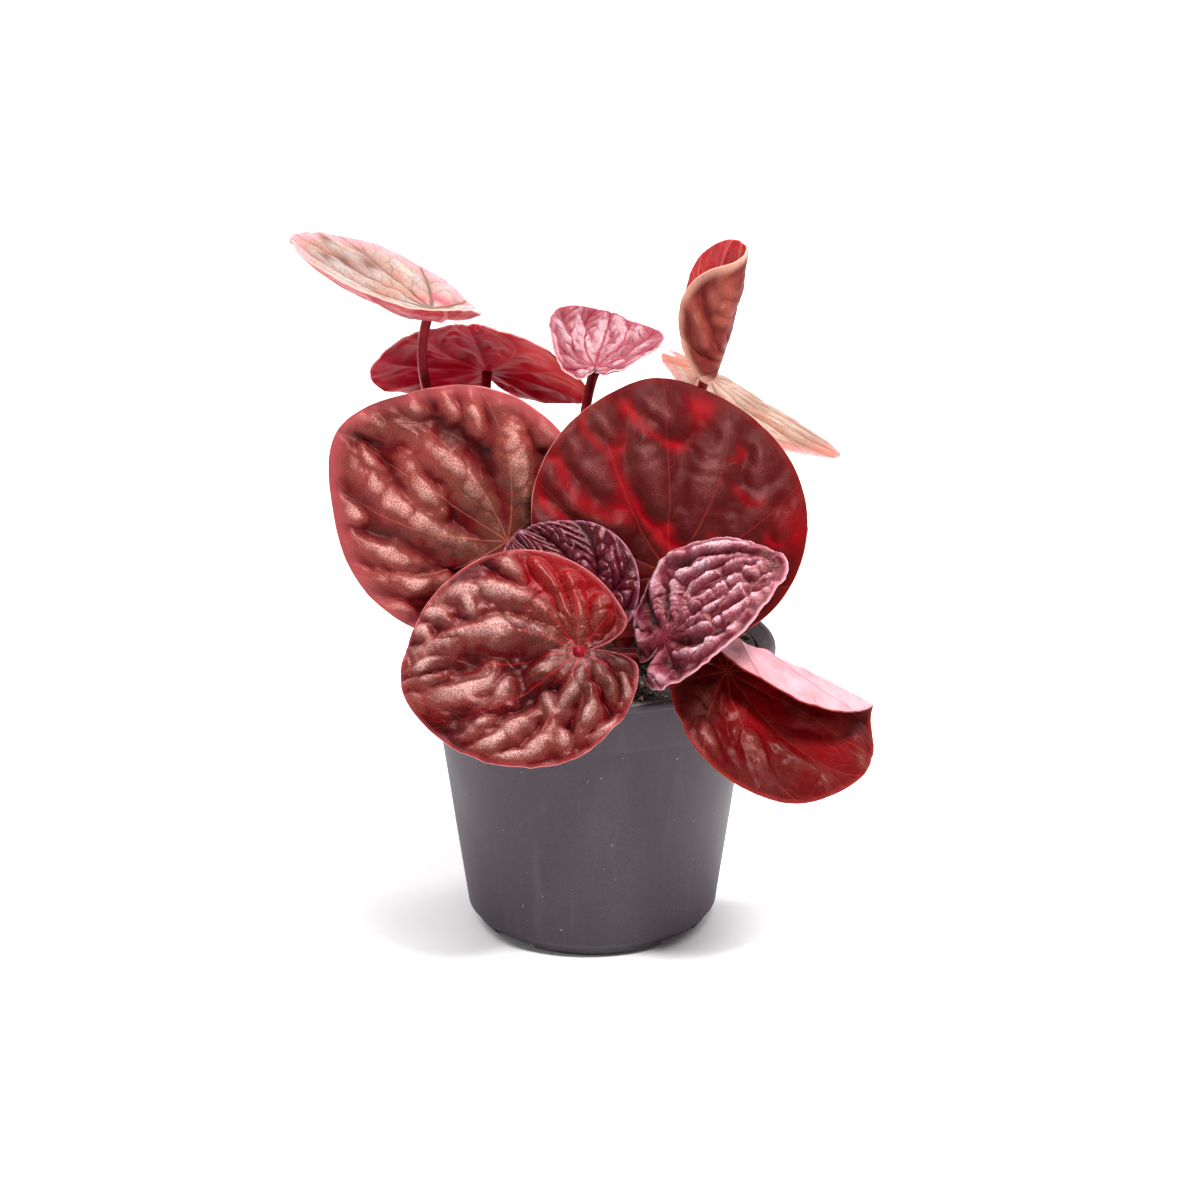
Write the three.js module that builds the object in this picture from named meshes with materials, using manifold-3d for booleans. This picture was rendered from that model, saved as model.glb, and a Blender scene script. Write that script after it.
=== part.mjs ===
// A young ripple peperomia (Peperomia caperata, a red-leaved form) in its nursery pot.
//
// Millimetres, +Z up.  The origin is the centre of the pot's flat base.  -Y is the front.
// Every blade is a thin closed sheet with ridges between its veins, and every stalk is a
// tapered tube that grows out of the short crown in the middle of the soil.

import * as THREE from 'three';
import { mergeVertices } from 'three/addons/utils/BufferGeometryUtils.js';
import Module from 'manifold-3d';

const wasm = await Module();
wasm.setup();

// ---------------------------------------------------------------- driving dimensions

const POT = {
  height: 73,
  lipRadius: 46,        // outside of the rolled lip
  lipWidth: 1.7,
  lipHeight: 2.2,
  bandTopRadius: 43.2,  // the upright band under the lip
  bandFootRadius: 41.3,
  bandFoot: 59,         // height of the band's lower edge
  wallTopRadius: 39.4,  // outside of the tapered wall, under the band
  wallFootRadius: 31.8,
  cornerHeight: 3,      // the rounded foot
  heelRadius: 30.4,
  heelHeight: 0.9,
  baseRadius: 28.3,     // the flat that the pot stands on
  lipBevel: 0.6,
  wall: 1.3,
  floor: 2.6,
  innerCorner: 1.5,
  segments: 44,
};

const NOTCH = { count: 4, width: 13, height: 2, depth: 4, firstAngle: 228 };
const DRAIN = { count: 6, radius: 3.2, ring: 17, sides: 8, firstAngle: 20 };

const SOIL = {
  top: 68.5,
  bottom: 3,
  corner: 2,
  gap: 0.45,
  bumps: 0.9,
  rings: 5,
  holeRadius: 7.2,
  holeDepth: 9,
  seed: 7,
};

const CROWN = { radius: 6.8, headHeight: 68.5, rings: 4, segments: 20 };

const BLADE = {
  thickness: 0.8,
  veins: [0, 34, 68, 104, 142, 180],  // degrees from the midrib; the last one is the notch
  stepsPerRidge: 4,
  rings: [0.13, 0.3, 0.5, 0.7, 0.87, 1],
  tipWidth: 0.3,     // radians, as are the next two widths
  lobeWidth: 0.6,
  sinusWidth: 0.22,
  sinusDepth: 0.75,
  firstSeed: 101,
  seedStep: 17,
};

const RIPPLE = {
  heights: [0.8, 1.3],   // of a leaf's ridge, drawn for each ridge
  roundness: 0.8,
  start: [0.08, 0.45],   // the stretch over which the ripples rise, in blade radii
  margin: 0.75,          // where they begin to fade towards the margin
  marginLoss: 0.45,
  puckers: 2.2,          // waves along a ridge
  puckerHeight: 0.35,
  veinDepth: 0.55,
};

const STALK = { baseRadius: 1.5, topRadius: 1.2, sides: 6, steps: 8, gap: 0.45, colour: 0x7c1f2c };

// ---------------------------------------------------------------- leaves
//
// at        the stalk's joint with the blade
// heading   compass direction of the blade's tip, degrees, 0 along +X and 90 along +Y
// pitch     rise of the tip above level, degrees
// roll      turn about the midrib, degrees, which lowers the blade's right side
// radius    radius of the round blade; ahead is how far its middle lies beyond the joint
// cup       bend of the left and of the right half, up, degrees
// arch      bend towards the tip and towards the base, up, degrees
// folds     [x, y, direction, width, degrees]: the blade past a line through (x, y), square
//           to that direction (0 tip, 90 right), is folded up over a strip of that width
// ridge     height of the ridges between the veins
// root      azimuth and elevation of the stalk's root on the crown's round head
// lean      how far the stalk runs straight out of the crown, and straight into the blade
// heel      where the stalk of a folded blade ends, in the blade's frame
// shortLobes  how much the two lobes beside the notch are shortened

const LEAVES = [
  {
    name: 'front_left', at: [-3, -42, 85.5], heading: -170, pitch: -7, roll: -48,
    radius: 26.5, ahead: 0.48, wide: 1.03, point: 0.08, cup: [10, 15], arch: [-9, -2],
    folds: [], ridge: 2.2, root: [-93, 16], lean: [24, 9], colour: 0x9c4e48,
  },
  {
    name: 'big_left', at: [-21, 4, 98], heading: 177, pitch: 34, roll: -73,
    radius: 31.5, ahead: 0.42, wide: 0.99, point: 0.12, cup: [7, 9], arch: [1, -1],
    folds: [], ridge: 2.2, root: [168, 24], lean: [12, 12], colour: 0x8f4f48,
  },
  {
    name: 'big_right', at: [19, -4, 92], heading: 89, pitch: 71, roll: 13,
    radius: 33.5, ahead: 0.39, wide: 1.04, point: 0.07, cup: [6, 10], arch: [-17, -6],
    folds: [], shortLobes: 0.35, ridge: 1.8, root: [5, 24], lean: [8, 10], colour: 0x7d2524,
  },
  {
    name: 'young_front', at: [17.5, -40, 88], heading: -7, pitch: 52, roll: 20,
    radius: 21, ahead: 0.47, wide: 1.03, point: 0.12, cup: [20, -10], arch: [-33, -16],
    folds: [[0, 0, 90, 14, 10]], ridge: 2, root: [-62, 16], lean: [20, 10], colour: 0xa3586a,
  },
  {
    name: 'dark_centre', at: [-1, -25, 90], heading: 148, pitch: 37, roll: -42,
    radius: 17, ahead: 0.43, wide: 1.04, point: 0.09, cup: [3, 8], arch: [-11, 1],
    folds: [], ridge: 1.6, root: [-125, 18], lean: [10, 6], colour: 0x4a1c2c,
  },
  {
    name: 'front_right', at: [32, -36, 78], heading: 1, pitch: -29, roll: 37,
    radius: 27, ahead: 0.47, wide: 1.01, point: 0.08, cup: [-1, 1], arch: [-10, 9],
    folds: [[-5, 9, -97, 7, 151]], ridge: 1.5, root: [-33, 16], lean: [22, 8], colour: 0x8e1f22,
  },
  {
    name: 'top_left', at: [-40, 17, 153.5], heading: -167, pitch: 17, roll: -11,
    radius: 24.5, ahead: 0.46, wide: 1, point: 0.11, cup: [35, 15], arch: [24, 0],
    folds: [[0, -1, 213, 7, 27]], ridge: 0.8, root: [150, 58], lean: [40, 30], colour: 0xe0bdb4,
  },
  {
    name: 'back_left', at: [-27.5, 54, 128.5], heading: -95, pitch: 34, roll: -1,
    radius: 29.5, ahead: 0.36, wide: 1, point: 0.08, cup: [-33, -28], arch: [-8, -6],
    folds: [], ridge: 1, root: [108, 24], lean: [30, 25], colour: 0x8f1d2c,
  },
  {
    name: 'top_middle', at: [0.5, 24, 136], heading: 86, pitch: 4, roll: 15,
    radius: 17, ahead: 0.43, wide: 1.05, point: 0.07, cup: [25, 1], arch: [25, -6],
    folds: [[-7, 4, 96, 11, 34], [3, 0, 291, 8, 19]],
    ridge: 1, root: [98, 60], lean: [30, 20], colour: 0xcf8f9f,
  },
  {
    name: 'top_right', at: [32.5, 22, 141], heading: -26, pitch: 74, roll: -119,
    radius: 18, ahead: 0.56, wide: 1.05, point: 0.09, cup: [1, -3], arch: [-13, -4],
    folds: [[1, 0, -94, 9, -159]], heel: [0.9, -3, -2.6],
    ridge: 0.8, root: [10, 56], lean: [30, 20], colour: 0xb5694f,
  },
  {
    name: 'far_right', at: [30, 58, 126], heading: -16, pitch: -32, roll: -7,
    radius: 25.5, ahead: 0.47, wide: 0.95, point: 0.09, cup: [-14, -9], arch: [8, -6],
    folds: [[0, 0, 224, 10, -4]], ridge: 0.8, root: [56, 50], lean: [30, 20], colour: 0xd9b79a,
  },
  {
    name: 'rear_left', at: [-26, 42, 90], heading: 125, pitch: 15, roll: 5,
    radius: 26, ahead: 0.42, wide: 1.03, point: 0.08, cup: [8, 8], arch: [-20, -4],
    folds: [], ridge: 2, root: [138, 24], lean: [16, 12], colour: 0x8a4038,
  },
  {
    name: 'rear_middle', at: [6, 48, 97], heading: 80, pitch: 20, roll: -5,
    radius: 28, ahead: 0.42, wide: 1.02, point: 0.08, cup: [6, 6], arch: [-18, -4],
    folds: [], ridge: 2, root: [78, 24], lean: [18, 14], colour: 0x8a4038,
  },
  {
    name: 'rear_right', at: [29, 37, 88], heading: 56, pitch: 12, roll: 8,
    radius: 22, ahead: 0.42, wide: 1.04, point: 0.08, cup: [8, 10], arch: [-18, -4],
    folds: [], ridge: 2, root: [38, 24], lean: [16, 12], colour: 0x8a4038,
  },
];

// ---------------------------------------------------------------- small helpers

const radians = THREE.MathUtils.degToRad;
const TOLERANCE = 0.01;

function seededRandom(seed) {
  let state = seed;
  return () => {
    state = (state * 16807) % 2147483647;
    return state / 2147483647;
  };
}

function smoothStep(low, high, value) {
  return THREE.MathUtils.smoothstep(value, low, high);
}

function material(colour, roughness) {
  return new THREE.MeshStandardMaterial({ color: colour, roughness, metalness: 0 });
}

function toManifold(geometry) {
  const bare = geometry.clone();
  bare.deleteAttribute('normal');
  bare.deleteAttribute('uv');
  const merged = mergeVertices(bare, 1e-4);
  return new wasm.Manifold(new wasm.Mesh({
    numProp: 3,
    vertProperties: merged.attributes.position.array,
    triVerts: merged.index.array,
  }));
}

function fromManifold(solid) {
  const mesh = solid.getMesh();
  const geometry = new THREE.BufferGeometry();
  geometry.setAttribute('position', new THREE.BufferAttribute(mesh.vertProperties, 3));
  geometry.setIndex(new THREE.BufferAttribute(mesh.triVerts, 1));
  return geometry;
}

// Turns a profile of [radius, height] points about the Z axis.
function lathe(profile, segments) {
  const points = profile.map(([r, z]) => new THREE.Vector2(r, z));
  return new THREE.LatheGeometry(points, segments).rotateX(Math.PI / 2);
}

// ---------------------------------------------------------------- the shape of a blade

// Every blade draws the heights of its own ridges, from a seed of its own.
function veinPattern(leaf, seed) {
  const random = seededRandom(seed);
  const sectors = [];
  for (const side of [-1, 1]) {
    for (let i = 0; i + 1 < BLADE.veins.length; i += 1) {
      sectors.push({
        side,
        start: BLADE.veins[i],
        end: BLADE.veins[i + 1],
        height: leaf.ridge * THREE.MathUtils.lerp(...RIPPLE.heights, random()),
        wave: 2 * Math.PI * random(),
      });
    }
  }
  return sectors;
}

// Angles round the blade, each with its sector and its place between that sector's veins.
function bladeDirections(sectors) {
  const left = sectors.filter((sector) => sector.side < 0).reverse();
  const right = sectors.filter((sector) => sector.side > 0);
  const directions = [];
  for (const sector of [...left, ...right]) {
    for (let step = 0; step < BLADE.stepsPerRidge; step += 1) {
      const along = step / BLADE.stepsPerRidge;
      const across = sector.side > 0 ? along : 1 - along;
      const degrees = THREE.MathUtils.lerp(sector.start, sector.end, across);
      directions.push({ theta: radians(sector.side * degrees), across, sector });
    }
  }
  return directions;
}

// The outline is a circle round a point ahead of the stalk, with a blunt point at the tip and
// a narrow notch at the base.
function outlineRadius(leaf, theta) {
  const offset = leaf.ahead * leaf.radius;
  const circle = offset * Math.cos(theta)
    + Math.sqrt(leaf.radius ** 2 - (offset * Math.sin(theta)) ** 2);
  const tip = 1 + leaf.point * Math.exp(-((theta / BLADE.tipWidth) ** 2));
  const fromBase = Math.PI - Math.abs(theta);
  const lobes = 1 - (leaf.shortLobes ?? 0) * Math.exp(-((fromBase / BLADE.lobeWidth) ** 2));
  const notch = 1 - BLADE.sinusDepth * Math.exp(-((fromBase / BLADE.sinusWidth) ** 2));
  return circle * tip * lobes * notch;
}

// Height of the ripples over the flat blade.  They start a little way out from the joint.
function relief(leaf, { sector, across }, rho, reach) {
  const ridge = Math.sin(Math.PI * across) ** RIPPLE.roundness;
  const rise = smoothStep(...RIPPLE.start, reach / leaf.radius);
  const envelope = rise * (1 - RIPPLE.marginLoss * smoothStep(RIPPLE.margin, 1, rho));
  const wave = Math.cos(2 * Math.PI * RIPPLE.puckers * rho + sector.wave);
  const puckers = 1 + RIPPLE.puckerHeight * wave;
  return sector.height * envelope * (ridge * puckers - RIPPLE.veinDepth);
}

// Folds a point of the sheet up past the line through (x, y), square to a direction.
function foldPoint(point, [x, y, direction, width, degrees]) {
  if (degrees === 0) return;
  const angle = Math.abs(radians(degrees));
  const sign = Math.sign(degrees);
  const radius = width / angle;
  const towards = new THREE.Vector3(Math.sin(radians(direction)), Math.cos(radians(direction)), 0);
  const distance = (point.x - x) * towards.x + (point.y - y) * towards.y;
  if (distance <= 0) return;
  const turned = Math.min(distance / radius, angle);
  const beyond = Math.max(distance - width, 0);
  const arm = radius - sign * point.z;
  const moved = arm * Math.sin(turned) + beyond * Math.cos(turned);
  const lifted = radius - arm * Math.cos(turned) + beyond * Math.sin(turned);
  point.addScaledVector(towards, moved - distance);
  point.z = sign * lifted;
}

// A point of the blade's middle surface, in the blade's own frame: +X right, +Y tip, +Z up.
function bladePoint(leaf, direction, rho) {
  const reach = rho * outlineRadius(leaf, direction.theta);
  const point = new THREE.Vector3(
    reach * Math.sin(direction.theta) * leaf.wide,
    reach * Math.cos(direction.theta),
    relief(leaf, direction, rho, reach),
  );
  const halfWidth = leaf.radius * leaf.wide;
  const [cupLeft, cupRight] = leaf.cup;
  const [archTip, archBase] = leaf.arch;
  const bends = [
    ...leaf.folds,
    [0, 0, 90, halfWidth, cupRight],
    [0, 0, -90, halfWidth, cupLeft],
    [0, 0, 0, leaf.radius * (1 + leaf.ahead), archTip],
    [0, 0, 180, leaf.radius * (1 - leaf.ahead), archBase],
  ];
  bends.forEach((bend) => foldPoint(point, bend));
  return point;
}

// The middle surface as an indexed sheet: the joint first, then ring after ring.
function bladeSheet(leaf, directions) {
  const points = [new THREE.Vector3(0, 0, 0)];
  for (const rho of BLADE.rings) {
    directions.forEach((direction) => points.push(bladePoint(leaf, direction, rho)));
  }
  const count = directions.length;
  const triangles = [];
  for (let j = 0; j < count; j += 1) {
    const next = (j + 1) % count;
    triangles.push([0, 1 + next, 1 + j]);
    for (let ring = 1; ring < BLADE.rings.length; ring += 1) {
      const inner = 1 + (ring - 1) * count;
      const outer = inner + count;
      triangles.push([inner + j, inner + next, outer + next]);
      triangles.push([inner + j, outer + next, outer + j]);
    }
  }
  const sheet = new THREE.BufferGeometry().setFromPoints(points);
  sheet.setIndex(triangles.flat());
  sheet.computeVertexNormals();
  return { points, normals: sheet.attributes.normal, triangles, count };
}

// Gives the sheet its thickness: both faces carry the same triangles, and a rim joins them.
function bladeGeometry(leaf, seed) {
  const sheet = bladeSheet(leaf, bladeDirections(veinPattern(leaf, seed)));
  const total = sheet.points.length;
  const faces = [];
  for (const side of [1, -1]) {
    sheet.points.forEach((point, i) => {
      const normal = new THREE.Vector3().fromBufferAttribute(sheet.normals, i);
      faces.push(point.clone().addScaledVector(normal, side * BLADE.thickness / 2));
    });
  }
  const triangles = [];
  for (const [a, b, c] of sheet.triangles) {
    triangles.push([a, b, c], [total + a, total + c, total + b]);
  }
  const rim = total - sheet.count;
  for (let j = 0; j < sheet.count; j += 1) {
    const here = rim + j;
    const next = rim + (j + 1) % sheet.count;
    triangles.push([here, next, total + next], [here, total + next, total + here]);
  }
  const geometry = new THREE.BufferGeometry().setFromPoints(faces);
  geometry.setIndex(triangles.flat());
  geometry.computeVertexNormals();
  return geometry;
}

function makeBlade(leaf, index) {
  const seed = BLADE.firstSeed + BLADE.seedStep * index;
  const blade = new THREE.Mesh(bladeGeometry(leaf, seed), material(leaf.colour, 0.4));
  blade.name = `leaf_${leaf.name}`;
  blade.position.set(...leaf.at);
  blade.rotation.set(radians(leaf.pitch), radians(leaf.roll), radians(leaf.heading - 90), 'ZXY');
  return blade;
}

// ---------------------------------------------------------------- stalks

// A tube round a curve, thinner towards its end, closed by flat ends.
function taperedTube(curve, startRadius, endRadius) {
  const { steps, sides } = STALK;
  const frames = curve.computeFrenetFrames(steps, false);
  const points = [];
  for (let i = 0; i <= steps; i += 1) {
    const centre = curve.getPointAt(i / steps);
    const radius = THREE.MathUtils.lerp(startRadius, endRadius, i / steps);
    for (let k = 0; k < sides; k += 1) {
      const angle = 2 * Math.PI * k / sides;
      points.push(centre.clone()
        .addScaledVector(frames.normals[i], radius * Math.cos(angle))
        .addScaledVector(frames.binormals[i], radius * Math.sin(angle)));
    }
  }
  const triangles = [];
  for (let i = 0; i < steps; i += 1) {
    for (let k = 0; k < sides; k += 1) {
      const here = i * sides + k;
      const next = i * sides + (k + 1) % sides;
      triangles.push([here, next, next + sides], [here, next + sides, here + sides]);
    }
  }
  const last = steps * sides;
  for (let k = 1; k + 1 < sides; k += 1) {
    triangles.push([0, k + 1, k], [last, last + k, last + k + 1]);
  }
  const geometry = new THREE.BufferGeometry().setFromPoints(points);
  geometry.setIndex(triangles.flat());
  geometry.computeVertexNormals();
  return geometry;
}

// The stalk leaves the crown square to its head, and meets the blade from below.  In a folded
// blade it ends at the heel instead, and comes to it along the midrib.
function stalkCurve(leaf, blade) {
  const [azimuth, elevation] = leaf.root.map(radians);
  const out = new THREE.Vector3(
    Math.cos(elevation) * Math.cos(azimuth),
    Math.cos(elevation) * Math.sin(azimuth),
    Math.sin(elevation),
  );
  const start = out.clone().multiplyScalar(CROWN.radius + STALK.gap);
  start.z += CROWN.headHeight;
  const below = [0, 0, -BLADE.thickness / 2 - STALK.gap];
  const end = new THREE.Vector3(...(leaf.heel ?? below)).applyEuler(blade.rotation);
  end.add(blade.position);
  const into = new THREE.Vector3(0, leaf.heel ? 1 : 0, leaf.heel ? 0 : 1);
  into.applyEuler(blade.rotation);
  const [rootLean, tipLean] = leaf.lean;
  return new THREE.CubicBezierCurve3(
    start,
    start.clone().addScaledVector(out, rootLean),
    end.clone().addScaledVector(into, -tipLean),
    end,
  );
}

function makeStalk(leaf, blade) {
  const tube = taperedTube(stalkCurve(leaf, blade), STALK.baseRadius, STALK.topRadius);
  const stalk = new THREE.Mesh(tube, material(STALK.colour, 0.45));
  stalk.name = `petiole_${leaf.name}`;
  return stalk;
}

// ---------------------------------------------------------------- pot, soil and crown

// Radii of the pot's inner face: the wall up to the band's foot, and the band above it.
function wallInside(z) {
  const t = (z - POT.cornerHeight) / (POT.bandFoot - POT.cornerHeight);
  return THREE.MathUtils.lerp(POT.wallFootRadius, POT.wallTopRadius, t) - POT.wall;
}

function bandInside(z) {
  const t = (z - POT.bandFoot) / (POT.height - POT.lipHeight - POT.bandFoot);
  return THREE.MathUtils.lerp(POT.bandFootRadius, POT.bandTopRadius, t) - POT.wall;
}

function potProfile() {
  const p = POT;
  const ledge = p.bandFoot + p.wall;
  return [
    [0, 0],
    [p.baseRadius, 0],
    [p.heelRadius, p.heelHeight],
    [p.wallFootRadius, p.cornerHeight],
    [p.wallTopRadius, p.bandFoot],
    [p.bandFootRadius, p.bandFoot],
    [p.bandTopRadius, p.height - p.lipHeight],
    [p.lipRadius, p.height - p.lipHeight],
    [p.lipRadius, p.height - p.lipBevel],
    [p.lipRadius - p.lipBevel, p.height],
    [p.lipRadius - p.lipWidth, p.height],
    [bandInside(p.height - p.lipHeight), p.height - p.lipHeight],
    [bandInside(ledge), ledge],
    [wallInside(p.bandFoot), p.bandFoot],
    [wallInside(p.cornerHeight), p.floor + p.innerCorner / 2],
    [wallInside(p.cornerHeight) - p.innerCorner, p.floor],
    [0, p.floor],
  ];
}

function makePot() {
  let solid = toManifold(lathe(potProfile(), POT.segments));
  for (let i = 0; i < NOTCH.count; i += 1) {
    const angle = radians(NOTCH.firstAngle + i * 360 / NOTCH.count);
    const box = new THREE.BoxGeometry(2 * NOTCH.depth, NOTCH.width, 2 * NOTCH.height);
    box.translate(POT.heelRadius, 0, 0);
    box.rotateZ(angle);
    solid = solid.subtract(toManifold(box));
  }
  for (let i = 0; i < DRAIN.count; i += 1) {
    const angle = radians(DRAIN.firstAngle + i * 360 / DRAIN.count);
    const hole = new THREE.CylinderGeometry(DRAIN.radius, DRAIN.radius, 4 * POT.floor, DRAIN.sides);
    hole.rotateX(Math.PI / 2);
    hole.translate(DRAIN.ring * Math.cos(angle), DRAIN.ring * Math.sin(angle), 0);
    solid = solid.subtract(toManifold(hole));
  }
  const geometry = fromManifold(solid);
  geometry.computeVertexNormals();
  const pot = new THREE.Mesh(geometry, material(0x5a5059, 0.6));
  pot.name = 'pot';
  return pot;
}

// The soil fills the pot; its top is crumbly, and a plain hole in its middle takes the stem.
function makeSoil() {
  const { gap, top, bottom, corner, holeRadius } = SOIL;
  const holeFloor = top - SOIL.holeDepth;
  const ledge = POT.bandFoot + POT.wall + 2 * gap;
  const edge = bandInside(top) - gap;
  const profile = [
    [0, bottom],
    [wallInside(bottom) - gap - corner, bottom],
    [wallInside(bottom + corner) - gap, bottom + corner],
    [wallInside(ledge) - 2 * gap, ledge - gap],
    [bandInside(ledge) - gap, ledge],
    [edge, top],
  ];
  for (let ring = 1; ring <= SOIL.rings; ring += 1) {
    profile.push([THREE.MathUtils.lerp(edge, holeRadius, ring / SOIL.rings), top]);
  }
  profile.push([holeRadius, holeFloor], [0, holeFloor]);
  const geometry = lathe(profile, POT.segments);
  geometry.deleteAttribute('normal');
  geometry.deleteAttribute('uv');
  const soil = new THREE.Mesh(crumble(mergeVertices(geometry, 1e-4)), material(0x2a1d18, 0.95));
  soil.name = 'soil';
  return soil;
}

// Lowers the points of the soil's top at random, and leaves the rim of its hole alone.
function crumble(geometry) {
  const random = seededRandom(SOIL.seed);
  const position = geometry.attributes.position;
  for (let i = 0; i < position.count; i += 1) {
    const radius = Math.hypot(position.getX(i), position.getY(i));
    const onTop = position.getZ(i) > SOIL.top - TOLERANCE;
    if (onTop && radius > SOIL.holeRadius + TOLERANCE) {
      position.setZ(i, SOIL.top - SOIL.bumps * random());
    }
  }
  geometry.computeVertexNormals();
  return geometry;
}

// A short stem in the soil's hole, with a round head that all the stalks grow from.
function makeCrown() {
  const foot = SOIL.top - SOIL.holeDepth + STALK.gap;
  const profile = [[0, foot], [CROWN.radius, foot]];
  for (let i = 0; i < CROWN.rings; i += 1) {
    const elevation = Math.PI / 2 * i / CROWN.rings;
    profile.push([
      CROWN.radius * Math.cos(elevation),
      CROWN.headHeight + CROWN.radius * Math.sin(elevation),
    ]);
  }
  profile.push([0, CROWN.headHeight + CROWN.radius]);
  const crown = new THREE.Mesh(lathe(profile, CROWN.segments), material(0x6b2a2a, 0.6));
  crown.name = 'crown';
  return crown;
}

// ---------------------------------------------------------------- the whole plant

const plant = new THREE.Group();
plant.name = 'ripple_peperomia';
plant.add(makePot(), makeSoil(), makeCrown());
LEAVES.forEach((leaf, index) => {
  const blade = makeBlade(leaf, index);
  plant.add(blade, makeStalk(leaf, blade));
});

export default plant;
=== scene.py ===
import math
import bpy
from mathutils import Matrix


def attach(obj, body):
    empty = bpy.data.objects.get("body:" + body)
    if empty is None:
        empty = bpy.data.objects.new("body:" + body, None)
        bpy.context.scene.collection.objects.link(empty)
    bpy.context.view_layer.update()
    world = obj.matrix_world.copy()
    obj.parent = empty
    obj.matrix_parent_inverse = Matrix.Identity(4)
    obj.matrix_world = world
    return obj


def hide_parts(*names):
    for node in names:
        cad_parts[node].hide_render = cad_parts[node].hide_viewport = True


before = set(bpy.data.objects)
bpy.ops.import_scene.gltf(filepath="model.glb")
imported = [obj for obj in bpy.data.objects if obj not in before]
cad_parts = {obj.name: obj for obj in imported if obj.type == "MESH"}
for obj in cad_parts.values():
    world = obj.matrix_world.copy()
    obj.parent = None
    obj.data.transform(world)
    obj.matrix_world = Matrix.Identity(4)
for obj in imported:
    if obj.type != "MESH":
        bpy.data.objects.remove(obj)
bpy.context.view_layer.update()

# The looks of a young red-leaved ripple peperomia in its nursery pot.
#
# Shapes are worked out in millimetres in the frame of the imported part, and become metres when a
# mesh is made.  Every blade is the same sheet as its solid, with finer ripples, thinner margins
# and veins.

from types import SimpleNamespace as Table

import bmesh
import bpy
import numpy as np
from mathutils import Matrix, Vector

MM = 0.001

# ---------------- sizes, in millimetres

POT = Table(
    height=73, lip_radius=46, lip_width=1.7, lip_height=2.2, band_top=43.2,
    band_foot_radius=41.3, band_foot=59, wall_top=39.4, wall_foot=31.8,
    corner_height=3, base_radius=28.3, wall=1.3, floor=2.6, segments=180, sharp=32,
)
ROUND = Table(foot=3.2, nook=0.4, band=0.45, under_lip=0.5, lip=0.75)  # corner radii
NOTCH = Table(count=4, width=13, height=2, depth=4, middle=30.4, first_angle=228)
DRAIN = Table(count=6, radius=3.2, ring=17, first_angle=20)
SOIL = Table(
    top=68.5, sunk=0.7, bottom=3.5, gap=0.45, hole_radius=7.2, hole_depth=9, heap=1.2,
    heap_from=28, bank=2.3, bank_at=0.35, segments=200, rings=64, lump_seed=40,
    lumps=[(9, 0.45), (3.5, 0.4), (1.5, 0.3), (0.8, 0.18)],  # their widths and heights
    lump_limits=(-1, 0.65), bits=2600, bit_margin=1.2, bit_seed=11, bit_sizes=(0.25, 0.75),
    bit_sunk=0.55,
)
CROWN = Table(
    radius=6.8, mean_radius=6.596, head=68.5, foot=60, lobes=7, lobe_depth=0.05, segments=72,
    rings=30,
)
STALK = Table(
    base_radius=1.5, top_radius=1.2, root_gap=0.45, root_depth=1.2, heel_depth=1.5,
    root_swell=0.35, root_fade=14, tip_swell=0.3, tip_fade=30, ribs=5,
    rib_depth=0.05, sides=20, steps=44,
)
# The rings of a blade's mesh lie closer together near its margin; the places are shares of the way
# from the stalk to the margin.
BLADE = Table(
    thickness=0.8, rim=0.5, rim_reach=0.45, rim_edge=-0.3, thin_margin=4, tip_width=0.3,
    lobe_width=0.6, sinus_width=0.22, sinus_depth=0.75, focus=1.12, calm=0.45,
    inner_rings=(0.012, 0.94), outer_rings=(0.952, 1), outer_count=6,
    first_seed=101, seed_step=17,
)
VEINS = (-180, -142, -104, -68, -34, 0, 34, 68, 104, 142, 180)  # degrees from the midrib

# Ripples between two veins.  Their rise and fall are places on the way from stalk to margin.
RIPPLE = Table(
    height=1.6, sink=0.7, rise=(0.04, 0.4), fall_from=(0.75, 1), fall=0.45,
    waves=2.2, groove_width=0.16, grooves_from=(0.2, 0.5), crease_width=0.14,
)
# Drawn ridges.  They are lower and narrower at their ends, and a high power in "blend" joins
# crossing ridges without a kink.
RIDGE = Table(
    steps=25, spread=1.9, end_width=0.6, end_height=0.75, top=1.17, round=0.03,
    foot_at=1.05, foot_width=0.3, steep_from=(0.1, 0.35), sway=0.6, swing=1.8, blend=7,
)
# Noise on a blade: the size of its features, and what it adds to the blade's seed.
NOISE = {
    "wander": (9, 1), "dimple": (2.8, 2), "pit": (1.5, 3), "jitter": (2.7, 4), "uneven": (3.2, 5),
    "rough": (1.4, 6), "sway": (3.4, 7), "shear": (3.4, 8), "swing": (4.5, 9),
}
CREASE_SEED = 11

# ---------------- studio, in metres, with the camera's sensor and lens in millimetres

PLANT = (0, 0, 0.09)
LIGHTS = [  # name, place, aim, side of the square, watts
    ("key", (0.25, -0.45, 0.92), PLANT, 0.16, 15),
    ("top", (0.1, 0.15, 1.0), PLANT, 0.4, 7),
    ("left", (-0.95, -0.45, 0.5), PLANT, 0.4, 2.5),
    ("right", (0.95, -0.5, 0.35), PLANT, 0.4, 1.5),
    ("back_left", (-0.7, 0.5, 0.8), (-0.12, 0, 0), 0.6, 9),
    ("back_right", (0.7, 0.6, 0.7), (0.12, 0, 0), 0.6, 6),
    ("backdrop", (0, 0.2, 1.6), (0, 1.6, 0.4), 1.0, 25),
]
SKY = 0.1
CAMERA = Table(place=(0.002, -0.686, 0.320), down=19, sensor=36, lens=87.36)
STAGE = Table(
    half=5.0, near=-5.0, depth=1.6, bend=0.8, height=3.0, steps=16,
    dark=(0.86, 0.86, 0.865), light=(0.88, 0.88, 0.88),
)

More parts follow.
